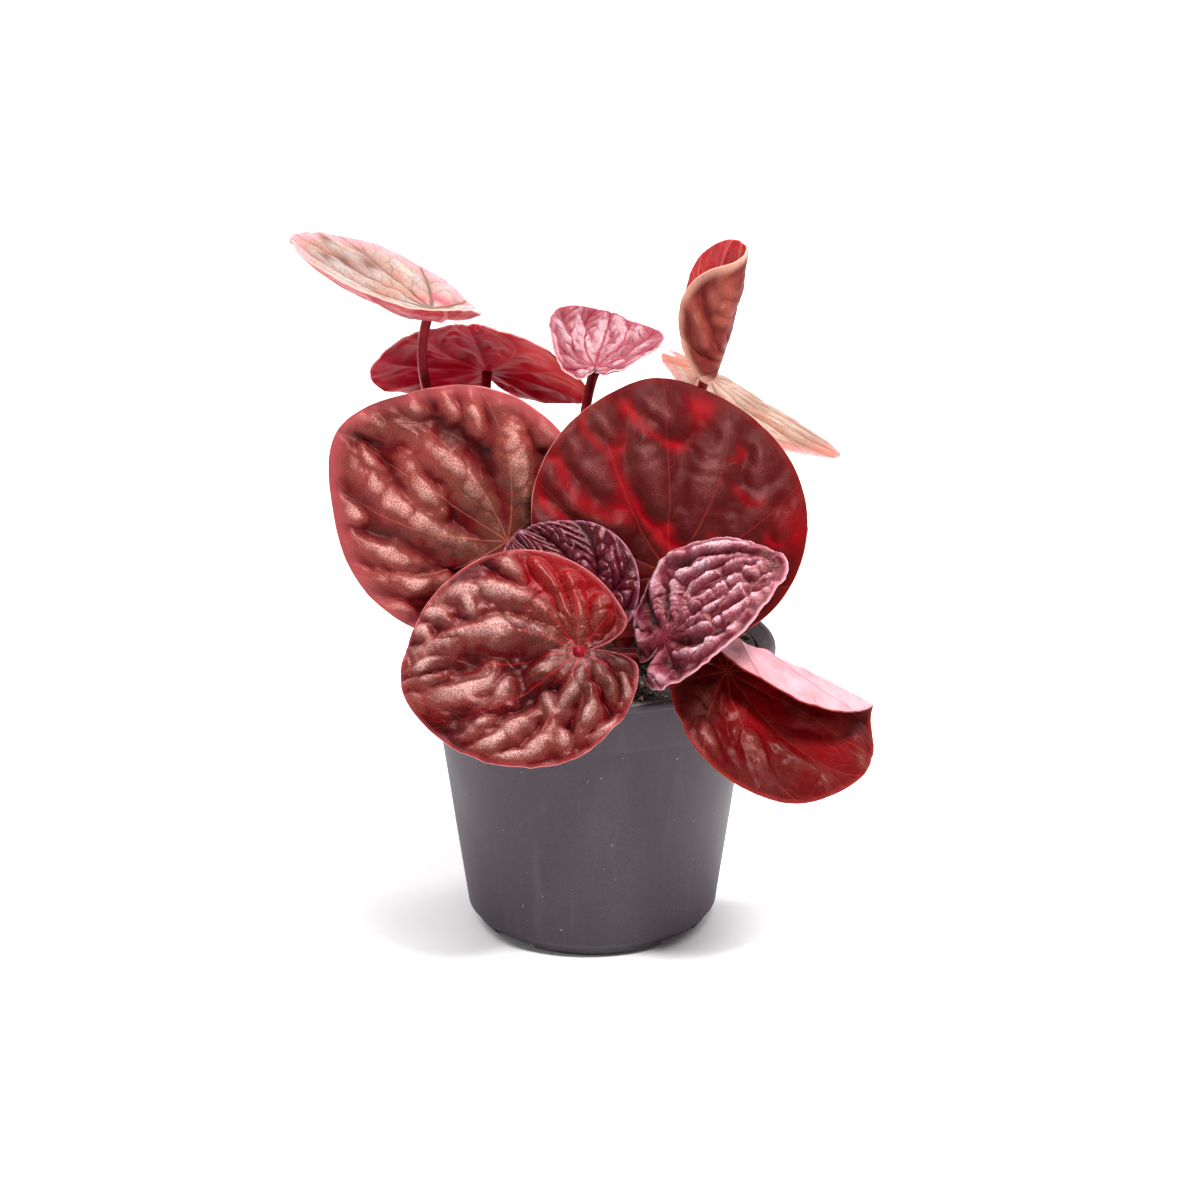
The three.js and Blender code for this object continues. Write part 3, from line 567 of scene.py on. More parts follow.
def one_ridge(leaf, crest, x, y, ragged, swing):
    """Height of one drawn ridge over the blade, and where the foot of its steep side runs."""
    knob_spacing, knob_depth = leaf.knobs
    line, t = ridge_line(crest)
    distances = np.hypot(x[..., None] - line[:, 0], y[..., None] - line[:, 1])
    nearest = distances.argmin(-1)
    apart = distances.min(-1)
    away = np.stack([x, y], -1) - line[nearest]
    uphill = away @ leaf.steep / np.maximum(apart, 0.01)
    skew = 1 + np.maximum(uphill, 0.5 * uphill)
    swell = np.sin(math.pi * (0.12 + 0.76 * t[nearest]))
    turns = t[nearest] * math.dist(crest[:2], crest[4:6]) / knob_spacing
    knobs = 0.5 - 0.5 * np.cos(2 * math.pi * turns + swing)
    width = RIDGE.spread * crest[6] * blend(RIDGE.end_width, 1, swell)
    inside = apart * skew * ragged / width
    height = blend(RIDGE.end_height, 1, swell) * (1 - knob_depth * knobs)
    slope = np.clip(RIDGE.top - np.sqrt(inside ** 2 + RIDGE.round), 0, 1)
    foot = bell(inside - RIDGE.foot_at, RIDGE.foot_width) * smooth_step(*RIDGE.steep_from, uphill)
    return height * slope, foot


def drawn_ridges(leaf, seed, x, y):
    """How far up the drawn ridges each point is, and how near to the foot of a steep side."""
    uneven = blade_noise("uneven", x, y, seed) + 0.5 * blade_noise("rough", x, y, seed)
    ragged = 1 + leaf.ragged * uneven
    x = x + RIDGE.sway * blade_noise("sway", x, y, seed)
    y = y + RIDGE.sway * blade_noise("shear", y, x, seed)
    swing = RIDGE.swing * blade_noise("swing", x, y, seed)
    total, brink = np.zeros_like(x), np.zeros_like(x)
    for crest in CRESTS[leaf.name]:
        height, foot = one_ridge(leaf, crest, x, y, ragged, swing)
        total += height ** RIDGE.blend
        brink = np.maximum(brink, foot)
    return total ** (1 / RIDGE.blend), brink


def ripples(leaf, seed, grid):
    """Lift of the sheet, how far up a ridge each point is, its cross grooves, and steep feet."""
    x, y, reach = grid.x, grid.y, grid.reach
    height, wave = spread_ridges(grid.starts, ridge_pattern(leaf, seed))
    crest, branches = even_ridges(leaf, seed, grid, wave)
    brink = np.zeros_like(x)
    if leaf.name in CRESTS:
        drawn, brink = drawn_ridges(leaf, seed, x, y)
        crest = np.maximum(drawn, leaf.between * crest)
    crease_size, crease_depth = leaf.creases
    from_crease = value_noise(x, y, crease_size, seed + CREASE_SEED)
    crest = crest * (1 - crease_depth * bell(from_crease, RIPPLE.crease_width))
    rise = smooth_step(*RIPPLE.rise, reach / leaf.radius)
    fall = 1 - RIPPLE.fall * smooth_step(*RIPPLE.fall_from, grid.rho)
    lift = height * rise * fall * (RIPPLE.height * crest - RIPPLE.sink)
    depth, width = leaf.funnel
    lift -= depth * bell(reach, width)
    dimples = blade_noise("dimple", x, y, seed) + 0.5 * blade_noise("pit", x, y, seed)
    lift += rise * leaf.fine[3] * (0.4 + crest) * dimples
    return lift, crest, branches, brink


def spots(grid, places):
    """Soft round spots (x, y, radius) on the flat blade."""
    total = np.zeros_like(grid.x)
    for x, y, radius in places:
        total += bell(np.hypot(grid.x - x, grid.y - y), radius)
    return np.minimum(total, 1)


def fold(points, x, y, direction, width, degrees):
    """Folds the sheet up past the line through (x, y), square to a direction."""
    if degrees == 0:
        return
    angle = abs(math.radians(degrees))
    sign = math.copysign(1, degrees)
    radius = width / angle
    towards = np.array([math.sin(math.radians(direction)), math.cos(math.radians(direction))])
    distance = (points[..., 0] - x) * towards[0] + (points[..., 1] - y) * towards[1]
    past = distance > 0
    turn = np.minimum(distance / radius, angle)
    beyond = np.maximum(distance - width, 0)
    arm = radius - sign * points[..., 2]
    moved = arm * np.sin(turn) + beyond * np.cos(turn)
    lifted = radius - arm * np.cos(turn) + beyond * np.sin(turn)
    points[..., :2] += np.where(past, moved - distance, 0)[..., None] * towards
    points[..., 2] = np.where(past, sign * lifted, points[..., 2])


def bend_blade(leaf, points):
    """The folds, the cup to the left and right of the midrib, and the arch ahead and behind."""
    half_width = leaf.radius * leaf.wide
    for bend in leaf.folds:
        fold(points, *bend)
    fold(points, 0, 0, 90, half_width, leaf.cup[1])
    fold(points, 0, 0, -90, half_width, leaf.cup[0])
    fold(points, 0, 0, 0, leaf.radius * (1 + leaf.ahead), leaf.arch[0])
    fold(points, 0, 0, 180, leaf.radius * (1 - leaf.ahead), leaf.arch[1])


def blade_axes(leaf):
    """The blade's right side, tip and upper side as the columns of a matrix."""
    heading, pitch, roll = np.radians(leaf.turn)
    turn = (Matrix.Rotation(heading - math.pi / 2, 3, "Z") @ Matrix.Rotation(pitch, 3, "X")
            @ Matrix.Rotation(roll, 3, "Y"))
    return np.array(turn)


def blade_piece(leaf, index):
    """The blade as one closed mesh, with what its material needs stored on its points."""
    seed = BLADE.first_seed + BLADE.seed_step * index
    grid = blade_grid(leaf)
    lift, crest, branches, brink = ripples(leaf, seed, grid)
    flat = np.stack([grid.x, grid.y, np.zeros_like(lift)], -1)
    lit = spots(grid, leaf.glow)
    points = flat * (leaf.wide, 1, 1)
    points[..., 2] = lift * (1 - BLADE.calm * lit)
    bend_blade(leaf, points)
    points = points @ blade_axes(leaf).T + leaf.at
    between = leaf.detail[0] * np.abs(np.gradient(grid.theta, axis=1)) * grid.reach
    sheet = {"flat": flat, "crest": crest, "branches": branches,
             "glow": np.maximum(lit, leaf.brink * brink), "scar": spots(grid, leaf.scars),
             "vein": between * np.minimum(grid.across, 1 - grid.across), "reach": grid.reach}
    return close_blade(leaf, points, (1 - grid.rho) * grid.outline, sheet)


def sheet_normals(points):
    """Unit normals of a grid of points whose second axis goes round the blade."""
    around = np.roll(points, -1, 1) - np.roll(points, 1, 1)
    outward = np.gradient(points, axis=0)
    normal = np.cross(around, outward)
    return normal / np.linalg.norm(normal, axis=-1, keepdims=True)


def close_blade(leaf, points, edge, sheet):
    """Gives the sheet its thickness, a rounded rim and the attributes that its colours read."""
    rings, count = points.shape[:2]
    normal = sheet_normals(points)
    inward = smooth_step(0, BLADE.thin_margin, edge)[..., None]
    half = 0.5 * blend(BLADE.rim, BLADE.thickness, inward)
    outward = points[-1] - points[-2]
    outward /= np.linalg.norm(outward, axis=-1, keepdims=True)
    rim = points[-1] + outward * BLADE.rim_reach * BLADE.rim
    rows = np.concatenate([points + half * normal, rim[None], (points - half * normal)[::-1]])
    centre = points[0].mean(0)
    up = normal[0].mean(0) * BLADE.thickness / 2

    def spread(values, rim_value=None):
        """An attribute of the sheet on the upper face, the rim, the lower face and both ends."""
        edge_row = values[-1:] if rim_value is None else np.full_like(values[-1:], rim_value)
        both = np.concatenate([values, edge_row, values[::-1]])
        both = both.reshape((-1,) + values.shape[2:])
        return np.concatenate([both, values[:1, 0], values[:1, 0]])

    upper = np.concatenate([np.ones((rings + 1) * count), np.zeros(rings * count), [1, 0]])
    attributes = {key: spread(values) for key, values in sheet.items()}
    attributes["edge"] = spread(edge, BLADE.rim_edge)
    attributes["upper"] = upper
    points, faces = closed_skin(rows, [centre + up, centre - up])
    return make_mesh("blade_" + leaf.name, points, faces, attributes)


# ---------------- stalks


def bezier(start, out, into, end, t):
    """Points of the curve that leaves its start towards out and reaches its end from into."""
    t = t[:, None]
    s = 1 - t
    return s ** 3 * start + 3 * s ** 2 * t * out + 3 * s * t ** 2 * into + t ** 3 * end


def stalk_line(leaf):
    """The stalk's centreline, from the crown's head to the blade."""
    azimuth, elevation = np.radians(leaf.root)
    out = np.array([math.cos(elevation) * math.cos(azimuth),
                    math.cos(elevation) * math.sin(azimuth), math.sin(elevation)])
    start = out * (CROWN.radius + STALK.root_gap) + (0, 0, CROWN.head)
    axes = blade_axes(leaf)
    gap = BLADE.thickness / 2 + STALK.root_gap
    if leaf.heel:
        heel, into, depth = leaf.heel, axes[:, 1], STALK.heel_depth
    else:
        heel, into, depth = (0, 0, -gap), axes[:, 2], gap
    end = axes @ heel + leaf.at
    t = np.linspace(0, 1, STALK.steps)
    line = bezier(start, start + out * leaf.lean[0], end - into * leaf.lean[1], end, t)
    return np.concatenate([[start - out * STALK.root_depth], line, [end + into * depth]])


def tube_frames(line):
    """Two directions square to a line at each of its points, turning as little as they can."""
    tangent = np.gradient(line, axis=0)
    tangent /= np.linalg.norm(tangent, axis=1, keepdims=True)
    side = np.cross(tangent[0], (0.3, 0.2, 1.0))
    sides = []
    for direction in tangent:
        side = side - direction * (side @ direction)
        side = side / np.linalg.norm(side)
        sides.append(side)
    sides = np.array(sides)
    return sides, np.cross(tangent, sides)


def stalk_piece(leaf):
    """A faintly ribbed tube, thicker at the crown and at the joint with the blade."""
    line = stalk_line(leaf)
    count, sides = len(line), STALK.sides
    along = np.linspace(0, 1, count)
    at_root = STALK.root_swell * np.exp(-STALK.root_fade * along)
    at_tip = STALK.tip_swell * np.exp(STALK.tip_fade * (along - 1))
    radius = blend(STALK.base_radius, STALK.top_radius, along) * (1 + at_root + at_tip)
    angle = full_turn(sides)
    ribs = 1 + STALK.rib_depth * np.cos(STALK.ribs * angle)
    first, second = tube_frames(line)
    ring = np.multiply.outer(np.cos(angle), first) + np.multiply.outer(np.sin(angle), second)
    points = line[:, None] + ring.swapaxes(0, 1) * np.outer(radius, ribs)[..., None]
    faces = ring_faces(count, sides)
    faces.append(tuple(range(sides))[::-1])
    faces.append(tuple(range((count - 1) * sides, count * sides)))
    attributes = {"along": np.repeat(along, sides)}
    return make_mesh("stalk_" + leaf.name, points.reshape(-1, 3), faces, attributes)


# ---------------- pot, soil and crown


def wall_inside(z):
    share = (z - POT.corner_height) / (POT.band_foot - POT.corner_height)
    return blend(POT.wall_foot, POT.wall_top, share) - POT.wall


def band_inside(z):
    share = (z - POT.band_foot) / (POT.height - POT.lip_height - POT.band_foot)
    return blend(POT.band_foot_radius, POT.band_top, share) - POT.wall


def arc(radius, x, z, start, stop, steps):
    """Points of an arc in the profile plane, angles in degrees from the outward direction."""
    angles = np.radians(np.linspace(start, stop, steps))
    return [(x + radius * math.cos(a), z + radius * math.sin(a)) for a in angles]


def pot_profile():
    """The outline from the middle of the foot outwards, up, over the lip and down to the floor."""
    p, r = POT, ROUND
    top, lip_foot = p.height, p.height - p.lip_height
    base, shoulder = p.base_radius - 1, p.corner_height + 1
    ledge = p.band_foot + p.wall
    wall_height = p.band_foot - r.nook - shoulder
    profile = [(0, 0), (base, 0)]
    profile += arc(r.foot, base, r.foot, -88, -12, 7)
    profile += [(p.wall_foot, shoulder)]
    profile += [(blend(p.wall_foot, p.wall_top, t), shoulder + wall_height * t)
                for t in (0.25, 0.5, 0.75, 1)]
    profile += arc(r.nook, p.wall_top + 0.5, p.band_foot - 0.5, 180, 90, 3)
    profile += arc(r.band, p.band_foot_radius - r.band, p.band_foot + r.band, -90, 0, 4)
    profile += [(p.band_top, lip_foot - 0.5)]
    profile += arc(r.under_lip, p.lip_radius - r.under_lip, lip_foot + r.under_lip, -90, 0, 4)
    profile += arc(r.lip, p.lip_radius - r.lip, top - r.lip, 0, 90, 6)
    profile += arc(r.nook, p.lip_radius - p.lip_width + r.nook, top - r.nook, 90, 180, 4)
    profile += [(band_inside(lip_foot), lip_foot - 0.3), (band_inside(ledge), ledge),
                (wall_inside(p.band_foot), p.band_foot), (wall_inside(shoulder), shoulder),
                (wall_inside(p.corner_height) - 1.5, p.floor), (0, p.floor)]
    return profile


def spaced_turns(feature):
    """Rotations about the Z axis for the copies of a feature round the pot."""
    for i in range(feature.count):
        angle = feature.first_angle + i * 360 / feature.count
        yield Matrix.Rotation(math.radians(angle), 3, "Z")


def cutters():
    """The notches at the foot and the drain holes, joined into one object."""
    tools = bmesh.new()
    size = Vector((2 * NOTCH.depth, NOTCH.width, 2 * NOTCH.height)) * MM
    for turn in spaced_turns(NOTCH):
        box = bmesh.ops.create_cube(tools, size=1)["verts"]
        bmesh.ops.scale(tools, vec=size, verts=box)
        bmesh.ops.translate(tools, vec=Vector((NOTCH.middle * MM, 0, 0)), verts=box)
        bmesh.ops.rotate(tools, matrix=turn, verts=box)
    radius, depth = DRAIN.radius * MM, 4 * POT.floor * MM
    for turn in spaced_turns(DRAIN):
        hole = bmesh.ops.create_cone(tools, segments=32, radius1=radius, radius2=radius,
                                     depth=depth, cap_ends=True)["verts"]
        bmesh.ops.translate(tools, vec=turn @ Vector((DRAIN.ring * MM, 0, 0)), verts=hole)
    mesh = bpy.data.meshes.new("cutters")
    tools.to_mesh(mesh)
    tools.free()
    return place_object("cutters", mesh)


def pot_piece():
    """The turned pot with its notches and drain holes cut out."""
    profile = pot_profile()
    ends = [(0, 0, profile[0][1]), (0, 0, profile[-1][1])]
    rows = turned(profile[1:-1], full_turn(POT.segments))
    pot = make_mesh("pot_body", *closed_skin(rows, ends))
    tool = cutters()
    cut = pot.modifiers.new("cut", "BOOLEAN")
    cut.operation = "DIFFERENCE"
    cut.solver = "EXACT"
    cut.object = tool
    depsgraph = bpy.context.evaluated_depsgraph_get()
    done = bpy.data.meshes.new_from_object(pot.evaluated_get(depsgraph))
    pot.modifiers.clear()
    pot.data = done
    bpy.data.objects.remove(tool)
    done.shade_smooth()
    done.set_sharp_from_angle(angle=math.radians(POT.sharp))
    return pot


def soil_heap(radius, angle):
    """How far the soil is heaped up near the wall, most of all at the right."""
    bank = SOIL.bank * np.maximum(np.cos(angle - SOIL.bank_at), 0) ** 4
    edge = band_inside(SOIL.top) - SOIL.gap
    return (SOIL.heap + bank) * smooth_step(SOIL.heap_from, edge - 1, radius)


def soil_piece():
    """Crumbly top with a hole for the stem, plain sides, and loose bits pressed into the top."""
    gap, bottom, hole_radius = SOIL.gap, SOIL.bottom, SOIL.hole_radius
    ledge = POT.band_foot + POT.wall + 2 * gap
    edge = band_inside(SOIL.top) - gap
    hole_foot = SOIL.top - SOIL.hole_depth
    angle = full_turn(SOIL.segments)
    radius = np.linspace(edge, hole_radius, SOIL.rings)[:, None]
    x, y = radius * np.cos(angle), radius * np.sin(angle)
    lumps = sum(value_noise(x, y, scale, SOIL.lump_seed + k) * size
                for k, (scale, size) in enumerate(SOIL.lumps))
    lumps *= smooth_step(0, 2, edge - radius)
    level = SOIL.top - SOIL.sunk + soil_heap(radius, angle) + np.clip(lumps, *SOIL.lump_limits)
    side = [(wall_inside(bottom) - 3, bottom), (wall_inside(5) - gap, 5),
            (wall_inside(ledge) - 1, ledge - 0.5), (band_inside(ledge) - gap, ledge)]
    hole = [(hole_radius, SOIL.top - 4), (hole_radius, hole_foot)]
    top = rings_about_z(radius, level, angle)
    rows = np.concatenate([turned(side, angle), top, turned(hole, angle)])
    points, faces = closed_skin(rows, [(0, 0, bottom), (0, 0, hole_foot)])
    bits, bit_faces, tones = soil_bits(edge, len(points))
    shade = np.concatenate([np.full(len(points), -1.0), tones])
    return make_mesh("soil_top", np.concatenate([points, bits]), faces + bit_faces, {"bit": shade})


def unit_ball():
    """Points and faces of an icosahedron."""
    ball = bmesh.new()
    bmesh.ops.create_icosphere(ball, subdivisions=1, radius=1)
    points = np.array([v.co for v in ball.verts])
    faces = [[v.index for v in f.verts] for f in ball.faces]
    ball.free()
    return points, faces


def soil_bits(edge, first):
    """Small irregular lumps, each a squashed ball with its own tone, on points from first on."""
    rng = np.random.default_rng(SOIL.bit_seed)
    ball, ball_faces = unit_ball()
    margin = SOIL.bit_margin
    points, faces, tones = [], [], []
    for _ in range(SOIL.bits):
        radius = math.sqrt(rng.uniform((SOIL.hole_radius + margin) ** 2, (edge - margin) ** 2))
        angle = rng.uniform(0, 2 * math.pi)
        size = rng.uniform(*SOIL.bit_sizes) * np.array([1, rng.uniform(0.4, 1),
                                                        rng.uniform(0.3, 0.8)])
        lump = ball * size * rng.uniform(0.75, 1.25, ball.shape)
        turn = np.linalg.qr(rng.normal(size=(3, 3)))[0]
        turn *= np.sign(np.linalg.det(turn))
        level = SOIL.top - SOIL.bit_sunk + soil_heap(radius, angle)
        height = level + rng.uniform(-0.2, 0.3)
        place = (radius * math.cos(angle), radius * math.sin(angle), height)
        start = first + len(points) * len(ball)
        points.append(lump @ turn.T + place)
        faces += [[start + i for i in face] for face in ball_faces]
        tones.append(np.full(len(ball), rng.uniform(0, 1)))
    return np.concatenate(points), faces, np.concatenate(tones)


def crown_piece():
    """The short stem, with the swollen bases of the stalks round its head."""
    elevation = np.linspace(0, math.pi / 2, CROWN.rings)[:-1, None]
    angle = full_turn(CROWN.segments)
    lumps = CROWN.lobe_depth * np.cos(CROWN.lobes * angle + 3 * elevation) * np.cos(elevation)
    radius = CROWN.mean_radius * (1 + lumps)
    height = CROWN.head + radius * np.sin(elevation)
    head = rings_about_z(radius * np.cos(elevation), height, angle)
    foot = head[:1] * (1, 1, 0) + (0, 0, CROWN.foot)
    ends = [(0, 0, CROWN.foot), (0, 0, CROWN.head + CROWN.radius)]
    return make_mesh("crown_stem", *closed_skin(np.concatenate([foot, head]), ends))


# ---------------- materials
#
# Noise scales are features per millimetre on a blade, and per metre on the other pieces.


class Nodes:
    """Short calls for building one procedural material."""

    def __init__(self, name, constants=None):
        self.material = bpy.data.materials.new(name)
        self.material.use_nodes = True
        self.tree = self.material.node_tree
        self.shader = self.tree.nodes["Principled BSDF"]
        for key, value in (constants or {}).items():
            self.shader.inputs[key].default_value = value

    def feed(self, socket, value):
        """Links a socket, or sets a number or a colour on it."""
        if isinstance(value, bpy.types.NodeSocket):
            self.tree.links.new(value, socket)
        elif isinstance(value, tuple) and socket.type == "RGBA":
            socket.default_value = (*value[:3], 1)
        else:
            socket.default_value = value

    def add(self, kind, inputs, output=0, **settings):
        """A new node, of which the wanted output is given back."""
        node = self.tree.nodes.new("ShaderNode" + kind)
        for key, value in settings.items():
            setattr(node, key, value)
        for key, value in inputs.items():
            self.feed(node.inputs[key], value)
        return node.outputs[output]

    def attribute(self, name, output="Fac"):
        return self.add("Attribute", {}, output, attribute_name=name)

    def place(self):
        return self.add("TexCoord", {}, "Object")

    def math(self, operation, *values):
        return self.add("Math", dict(enumerate(values)), operation=operation)

    def times(self, a, b):
        return self.math("MULTIPLY", a, b)

    def line(self, value, slope, start):
        """The value times the slope, plus the start."""
        return self.math("MULTIPLY_ADD", value, slope, start)

    def step(self, value, low, high, start=0.0, stop=1.0):
        """Goes smoothly from start to stop while the value goes from low to high."""
        inputs = {"Value": value, "From Min": low, "From Max": high, "To Min": start,
                  "To Max": stop}
        return self.add("MapRange", inputs, interpolation_type="SMOOTHSTEP")

    def mix(self, factor, a, b, how="MIX"):
        return self.add("Mix", {0: factor, 6: a, 7: b}, 2, data_type="RGBA", blend_type=how)

    def noise(self, vector, scale, detail=2.0, roughness=0.5):
        inputs = {"Vector": vector, "Scale": scale, "Detail": detail, "Roughness": roughness}
        return self.add("TexNoise", inputs)

    def cells(self, vector, scale):
        """Distance from the borders of irregular cells."""
        inputs = {"Vector": vector, "Scale": scale}
        return self.add("TexVoronoi", inputs, "Distance", feature="DISTANCE_TO_EDGE")

    def bump(self, height, strength, distance):
        return self.add("Bump", {"Height": height, "Strength": strength, "Distance": distance})

    def finish(self, colour, roughness, normal):
        self.feed(self.shader.inputs["Base Color"], colour)
        self.feed(self.shader.inputs["Roughness"], roughness)
        self.feed(self.shader.inputs["Normal"], normal)
        return self.material


def leaf_material(leaf, seed):
    """Ridge and valley colours, with painted shade in the hollows and a painted sheen on the
    crests, pale margin, vein lines, fine grain, and the underside.
    """
    look = Table(**(PLAIN_LOOK | LOOKS[leaf.look]))
    n = Nodes("leaf_" + leaf.name, {
        "Specular IOR Level": look.shine, "Specular Tint": RED_GLOSS,
        "Subsurface Weight": look.soft, "Subsurface Radius": (1, 0.06, 0.06),
        "Subsurface Scale": 0.0025})
    shift = (seed * 17.0, seed * 9.0, 0.0)  # so that no two blades have the same grain
    flat = n.add("VectorMath", {0: n.attribute("flat", "Vector"), 1: shift}, operation="ADD")
    grain = n.noise(flat, 2.6, 3.0, 0.7)
    lines = leaf_lines(n, leaf, look, flat)
    upper = upper_colour(n, leaf, look, flat, grain, lines)
    colour = n.mix(n.attribute("upper"), under_colour(n, look, flat, lines), upper)
    colour = n.mix(n.step(n.attribute("edge"), 0.12, -0.2), colour, look.rim or look.top)
    relief = n.line(lines.branch, -0.5, n.times(grain, 0.6))
    rougher_valley = n.times(n.step(n.attribute("crest"), 0.15, 0.8, 0.15, 0.0),
                             n.step(n.attribute("reach"), 1.0, 7.0))
    uneven = n.step(grain, 0.3, 0.75, look.roughness - 0.06, look.roughness + 0.04)
    return n.finish(colour, n.math("ADD", rougher_valley, uneven), n.bump(relief, 0.35, 0.0003))


def leaf_lines(n, leaf, look, flat):
    """Masks of the main veins, their branches and the fine net between them."""
    thick = look.vein_width
    width = n.line(n.attribute("reach"), -0.006 * thick, 0.34 * thick)
    from_vein = n.math("SUBTRACT", n.attribute("vein"), width)
    from_branch = n.times(n.math("PINGPONG", n.attribute("branches"), 0.5), leaf.fine[1])
    branch = n.step(from_branch, 0.3, 0.05)
    net = n.step(n.cells(flat, 0.42), 0.05, 0.0)
    return Table(vein=n.step(from_vein, 0.12, -0.12), broad=n.step(from_vein, 0.35, -0.1),
                 branch=branch, small=n.math("MAXIMUM", branch, net))


def upper_colour(n, leaf, look, flat, grain, lines):
    """From the ridges and the clouds on them, with painted shade in the hollows and painted light
    coming through, to a painted sheen with painted glints, the margin, the lines and the scars.
    """
    mottle, patch = n.noise(flat, 0.2, 3.0), n.noise(flat, 0.075, 2.0)
    ridge = n.math("ADD", n.attribute("crest"), n.line(mottle, 0.4, -0.2))
    on_crest = n.step(ridge, *look.crest_at)
    # The leaf's red in the valleys and on the flanks, made darker as painted shade in the hollows.
    colour = n.mix(n.step(ridge, *look.flank_at), look.valley, look.flank)
    outer = n.step(n.attribute("reach"), 0.35 * leaf.radius, 0.9 * leaf.radius)
    crest = n.mix(outer, look.heart or look.crest, look.crest)
    colour = n.mix(on_crest, colour, crest)
    colour = n.mix(n.step(patch, 0.5, 0.68, 0.0, 0.6), colour, look.blotch)
    # Painted light coming through the blade at the glowing spots and at the feet of steep sides.
    lit = n.attribute("glow")
    colour = n.mix(n.times(lit, n.line(on_crest, -0.4, 0.97)), colour, look.glow)
    # Painted highlight: a sheen on the crests, broken up by the grain, and painted glints.
    height = n.math("ADD", n.attribute("crest"), n.line(mottle, 0.24, -0.12))
    sheen = n.times(n.step(height, *look.sheen_at), n.step(grain, 0.34, 0.68, 0.15, 0.95))
    sheen = n.times(n.times(sheen, n.line(lit, -0.97, 1.0)), n.line(outer, 0.6, 0.4))
    painted_glints = n.times(n.step(grain, 0.55, 0.8), n.line(on_crest, 0.2, 0.04))
    colour = n.mix(n.math("MAXIMUM", sheen, painted_glints), colour, look.top)
    colour = n.mix(n.step(grain, 0.5, 0.3, 0.0, 0.6), colour, GRAIN_SHADE, "MULTIPLY")
    near_edge = n.step(n.attribute("edge"), look.margin_width, 0.1, 0.0, 0.75)
    colour = n.mix(near_edge, colour, look.margin)
    shown = n.math("MAXIMUM", n.times(lines.vein, look.veins),
                   n.times(lines.small, look.branches))
    colour = n.mix(shown, colour, look.vein)
    return n.mix(n.attribute("scar"), colour, look.scar)


def under_colour(n, look, flat, lines):
    """Clouded, with its own lines, and with painted light coming through at the glowing spots."""
    dark = tuple(0.7 * part for part in look.under)
    colour = n.mix(n.step(n.noise(flat, 0.15, 3.0), 0.4, 0.7), look.under, dark)
    # Painted light coming through at the glowing spots.
    colour = n.mix(n.attribute("glow"), colour, look.under_glow or look.glow)
    shown = n.math("MAXIMUM", lines.broad, n.times(lines.small, look.under_net))
    return n.mix(n.times(shown, look.under_line), colour, look.under_vein)


def stalk_material():
    """Mottled dark crimson, paler at the crown."""
    n = Nodes("stalk", {"Specular IOR Level": 0.15, "Specular Tint": RED_GLOSS})
    mottle = n.noise(n.place(), 350.0, 3.0)
    colour = n.mix(n.step(mottle, 0.35, 0.7), STALK_TONES.dark, STALK_TONES.light)
    colour = n.mix(n.step(n.attribute("along"), 0.12, 0.0, 0.0, 0.6), colour, STALK_TONES.root)
    return n.finish(colour, 0.33, n.bump(mottle, 0.3, 0.0002))


def pot_material():
    """Matte grey-mauve plastic with a fine grain, faint streaks and a little dust."""
    n = Nodes("pot_plastic", {"Specular IOR Level": 0.3})
    place = n.place()
    grain = n.noise(place, 1900.0, 2.0)
    cloud = n.noise(place, 40.0, 4.0)
    streak = n.noise(n.add("Mapping", {"Vector": place, "Scale": (260.0, 260.0, 14.0)}), 1.0, 3.0)
    dust = n.noise(place, 900.0, 1.0, 0.3)
    colour = n.mix(n.step(cloud, 0.3, 0.75), POT_TONES.dark, POT_TONES.light)
    colour = n.mix(n.step(grain, 0.55, 0.3, 0.0, 0.35), colour, POT_TONES.pores)
    colour = n.mix(n.step(streak, 0.55, 0.8, 0.0, 0.16), colour, POT_TONES.streaks)
    colour = n.mix(n.step(dust, 0.76, 0.84, 0.0, 0.3), colour, POT_TONES.dust)
    return n.finish(colour, n.step(cloud, 0.3, 0.7, 0.5, 0.62), n.bump(grain, 0.35, 0.0001))


def soil_material():
    """Dark peat with lighter fibres, and bits from black through tan to cream."""
    n = Nodes("soil")
    fine = n.noise(n.place(), 900.0, 4.0, 0.7)
    peat = n.mix(n.step(fine, 0.4, 0.75), SOIL_TONES.peat, SOIL_TONES.fibres)
    bit = n.attribute("bit")
    tone = n.add("ValToRGB", {"Fac": bit}, "Color")
    elements = tone.node.color_ramp.elements
    while len(elements) < len(BIT_TONES):
        elements.new(0.5)
    for element, (position, colour) in zip(elements, BIT_TONES):
        element.position = position
        element.color = (*colour, 1)
    colour = n.mix(n.step(bit, -0.6, -0.2), peat, tone)
    return n.finish(colour, 0.85, n.bump(fine, 0.8, 0.0005))


def crown_material():
    n = Nodes("crown")
    fine = n.noise(n.place(), 500.0, 4.0)
    colour = n.mix(n.step(fine, 0.3, 0.7), CROWN_TONES.dark, CROWN_TONES.light)
    return n.finish(colour, 0.6, n.bump(fine, 0.5, 0.0004))


def stage_material():
    n = Nodes("stage")
    soft = n.noise(n.place(), 3.0, 2.0)
    colour = n.mix(soft, STAGE.dark, STAGE.light)
    return n.finish(colour, 0.9, n.bump(soft, 0.02, 0.0005))


# ---------------- stage, lights and camera


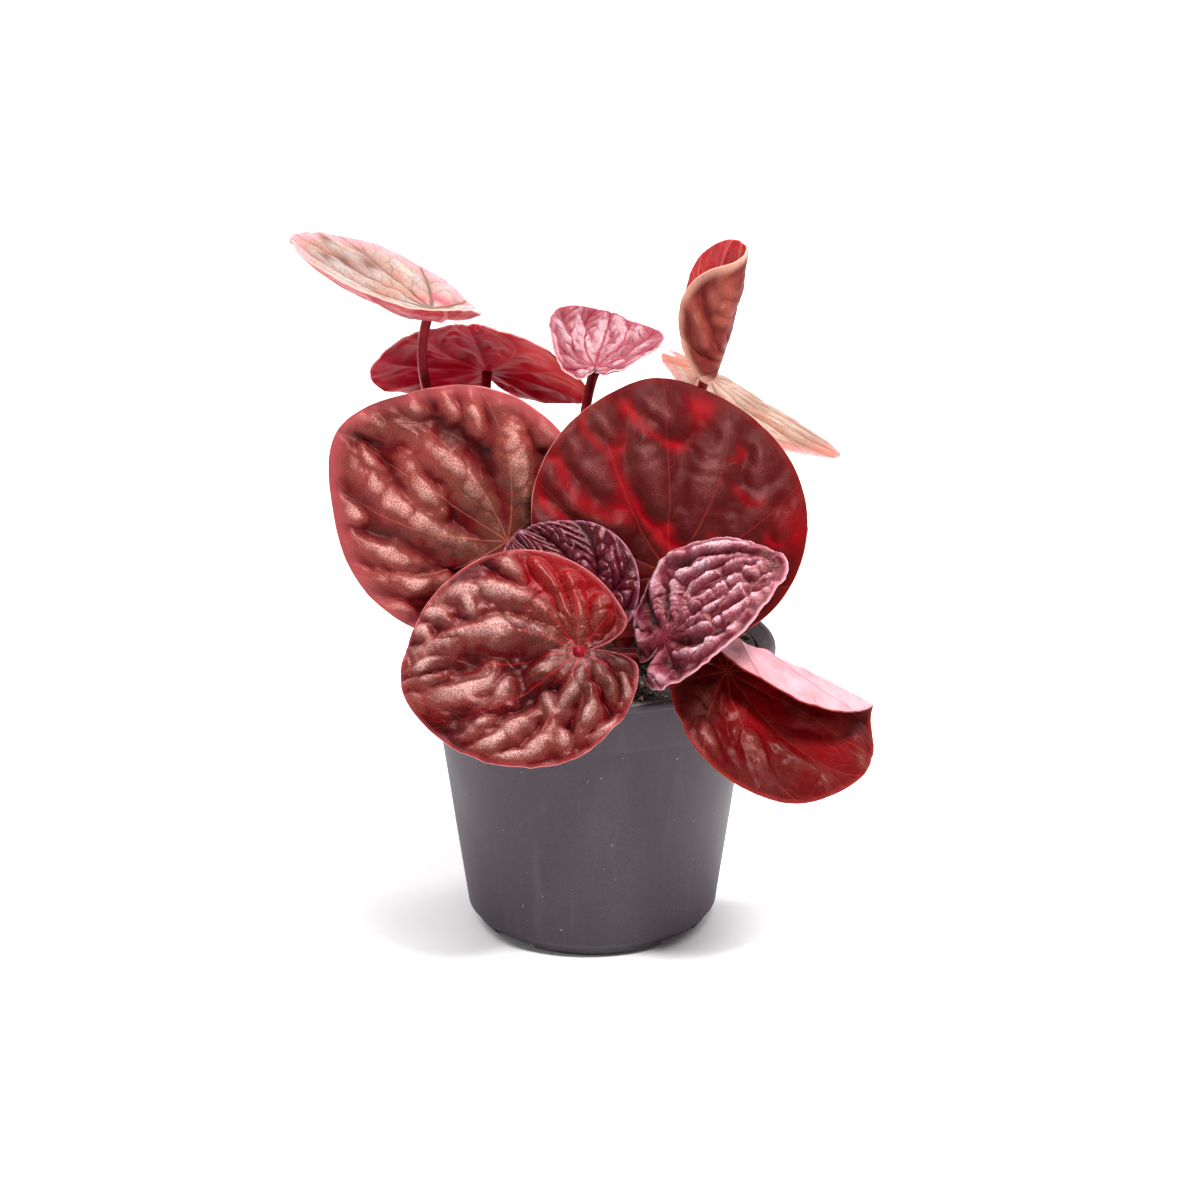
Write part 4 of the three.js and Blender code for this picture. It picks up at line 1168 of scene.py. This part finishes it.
def stage_piece():
    """A floor that sweeps up into a backdrop behind the pot."""
    half, depth, bend = STAGE.half, STAGE.depth, STAGE.bend
    profile = [(STAGE.near, 0.0), (depth - bend, 0.0)]
    for step in range(1, STAGE.steps + 1):
        angle = math.pi / 2 * step / STAGE.steps
        profile.append((depth - bend + bend * math.sin(angle), bend - bend * math.cos(angle)))
    profile.append((depth, STAGE.height))
    points = [(x / MM, y / MM, z / MM) for y, z in profile for x in (-half, half)]
    faces = [(2 * i, 2 * i + 1, 2 * i + 3, 2 * i + 2) for i in range(len(profile) - 1)]
    floor = make_mesh("floor", points, faces)
    floor.data.materials.append(stage_material())


def area_light(name, place, aim, size, power):
    data = bpy.data.lights.new(name, "AREA")
    data.shape = "SQUARE"
    data.size = size
    data.energy = power
    light = place_object(name, data)
    light.location = place
    light.rotation_euler = (Vector(aim) - Vector(place)).to_track_quat("-Z", "Y").to_euler()


def light_scene():
    """Soft lamps all round, and a weak white sky."""
    for lamp in LIGHTS:
        area_light(*lamp)
    world = bpy.data.worlds.new("studio")
    world.use_nodes = True
    background = world.node_tree.nodes["Background"]
    background.inputs["Color"].default_value = (1, 1, 1, 1)
    background.inputs["Strength"].default_value = SKY
    bpy.context.scene.world = world
    bpy.context.scene.view_settings.view_transform = "Standard"


def add_camera():
    """The view from a little above, square to the pot."""
    data = bpy.data.cameras.new("camera")
    data.sensor_width = CAMERA.sensor
    data.lens = CAMERA.lens
    camera = place_object("camera", data)
    camera.location = CAMERA.place
    camera.rotation_euler = (math.radians(90 - CAMERA.down), 0, 0)
    bpy.context.scene.camera = camera


# ---------------- the whole plant

stalk_finish = stalk_material()
for index, fields in enumerate(LEAVES):
    leaf = Table(**(PLAIN_LEAF | fields))
    node = "leaf_" + leaf.name
    add_piece(blade_piece(leaf, index), leaf_material(leaf, index + 1), node)
    add_piece(stalk_piece(leaf), stalk_finish, "petiole_" + leaf.name)
add_piece(pot_piece(), pot_material(), "pot")
add_piece(soil_piece(), soil_material(), "soil")
add_piece(crown_piece(), crown_material(), "crown")
stage_piece()
light_scene()
add_camera()
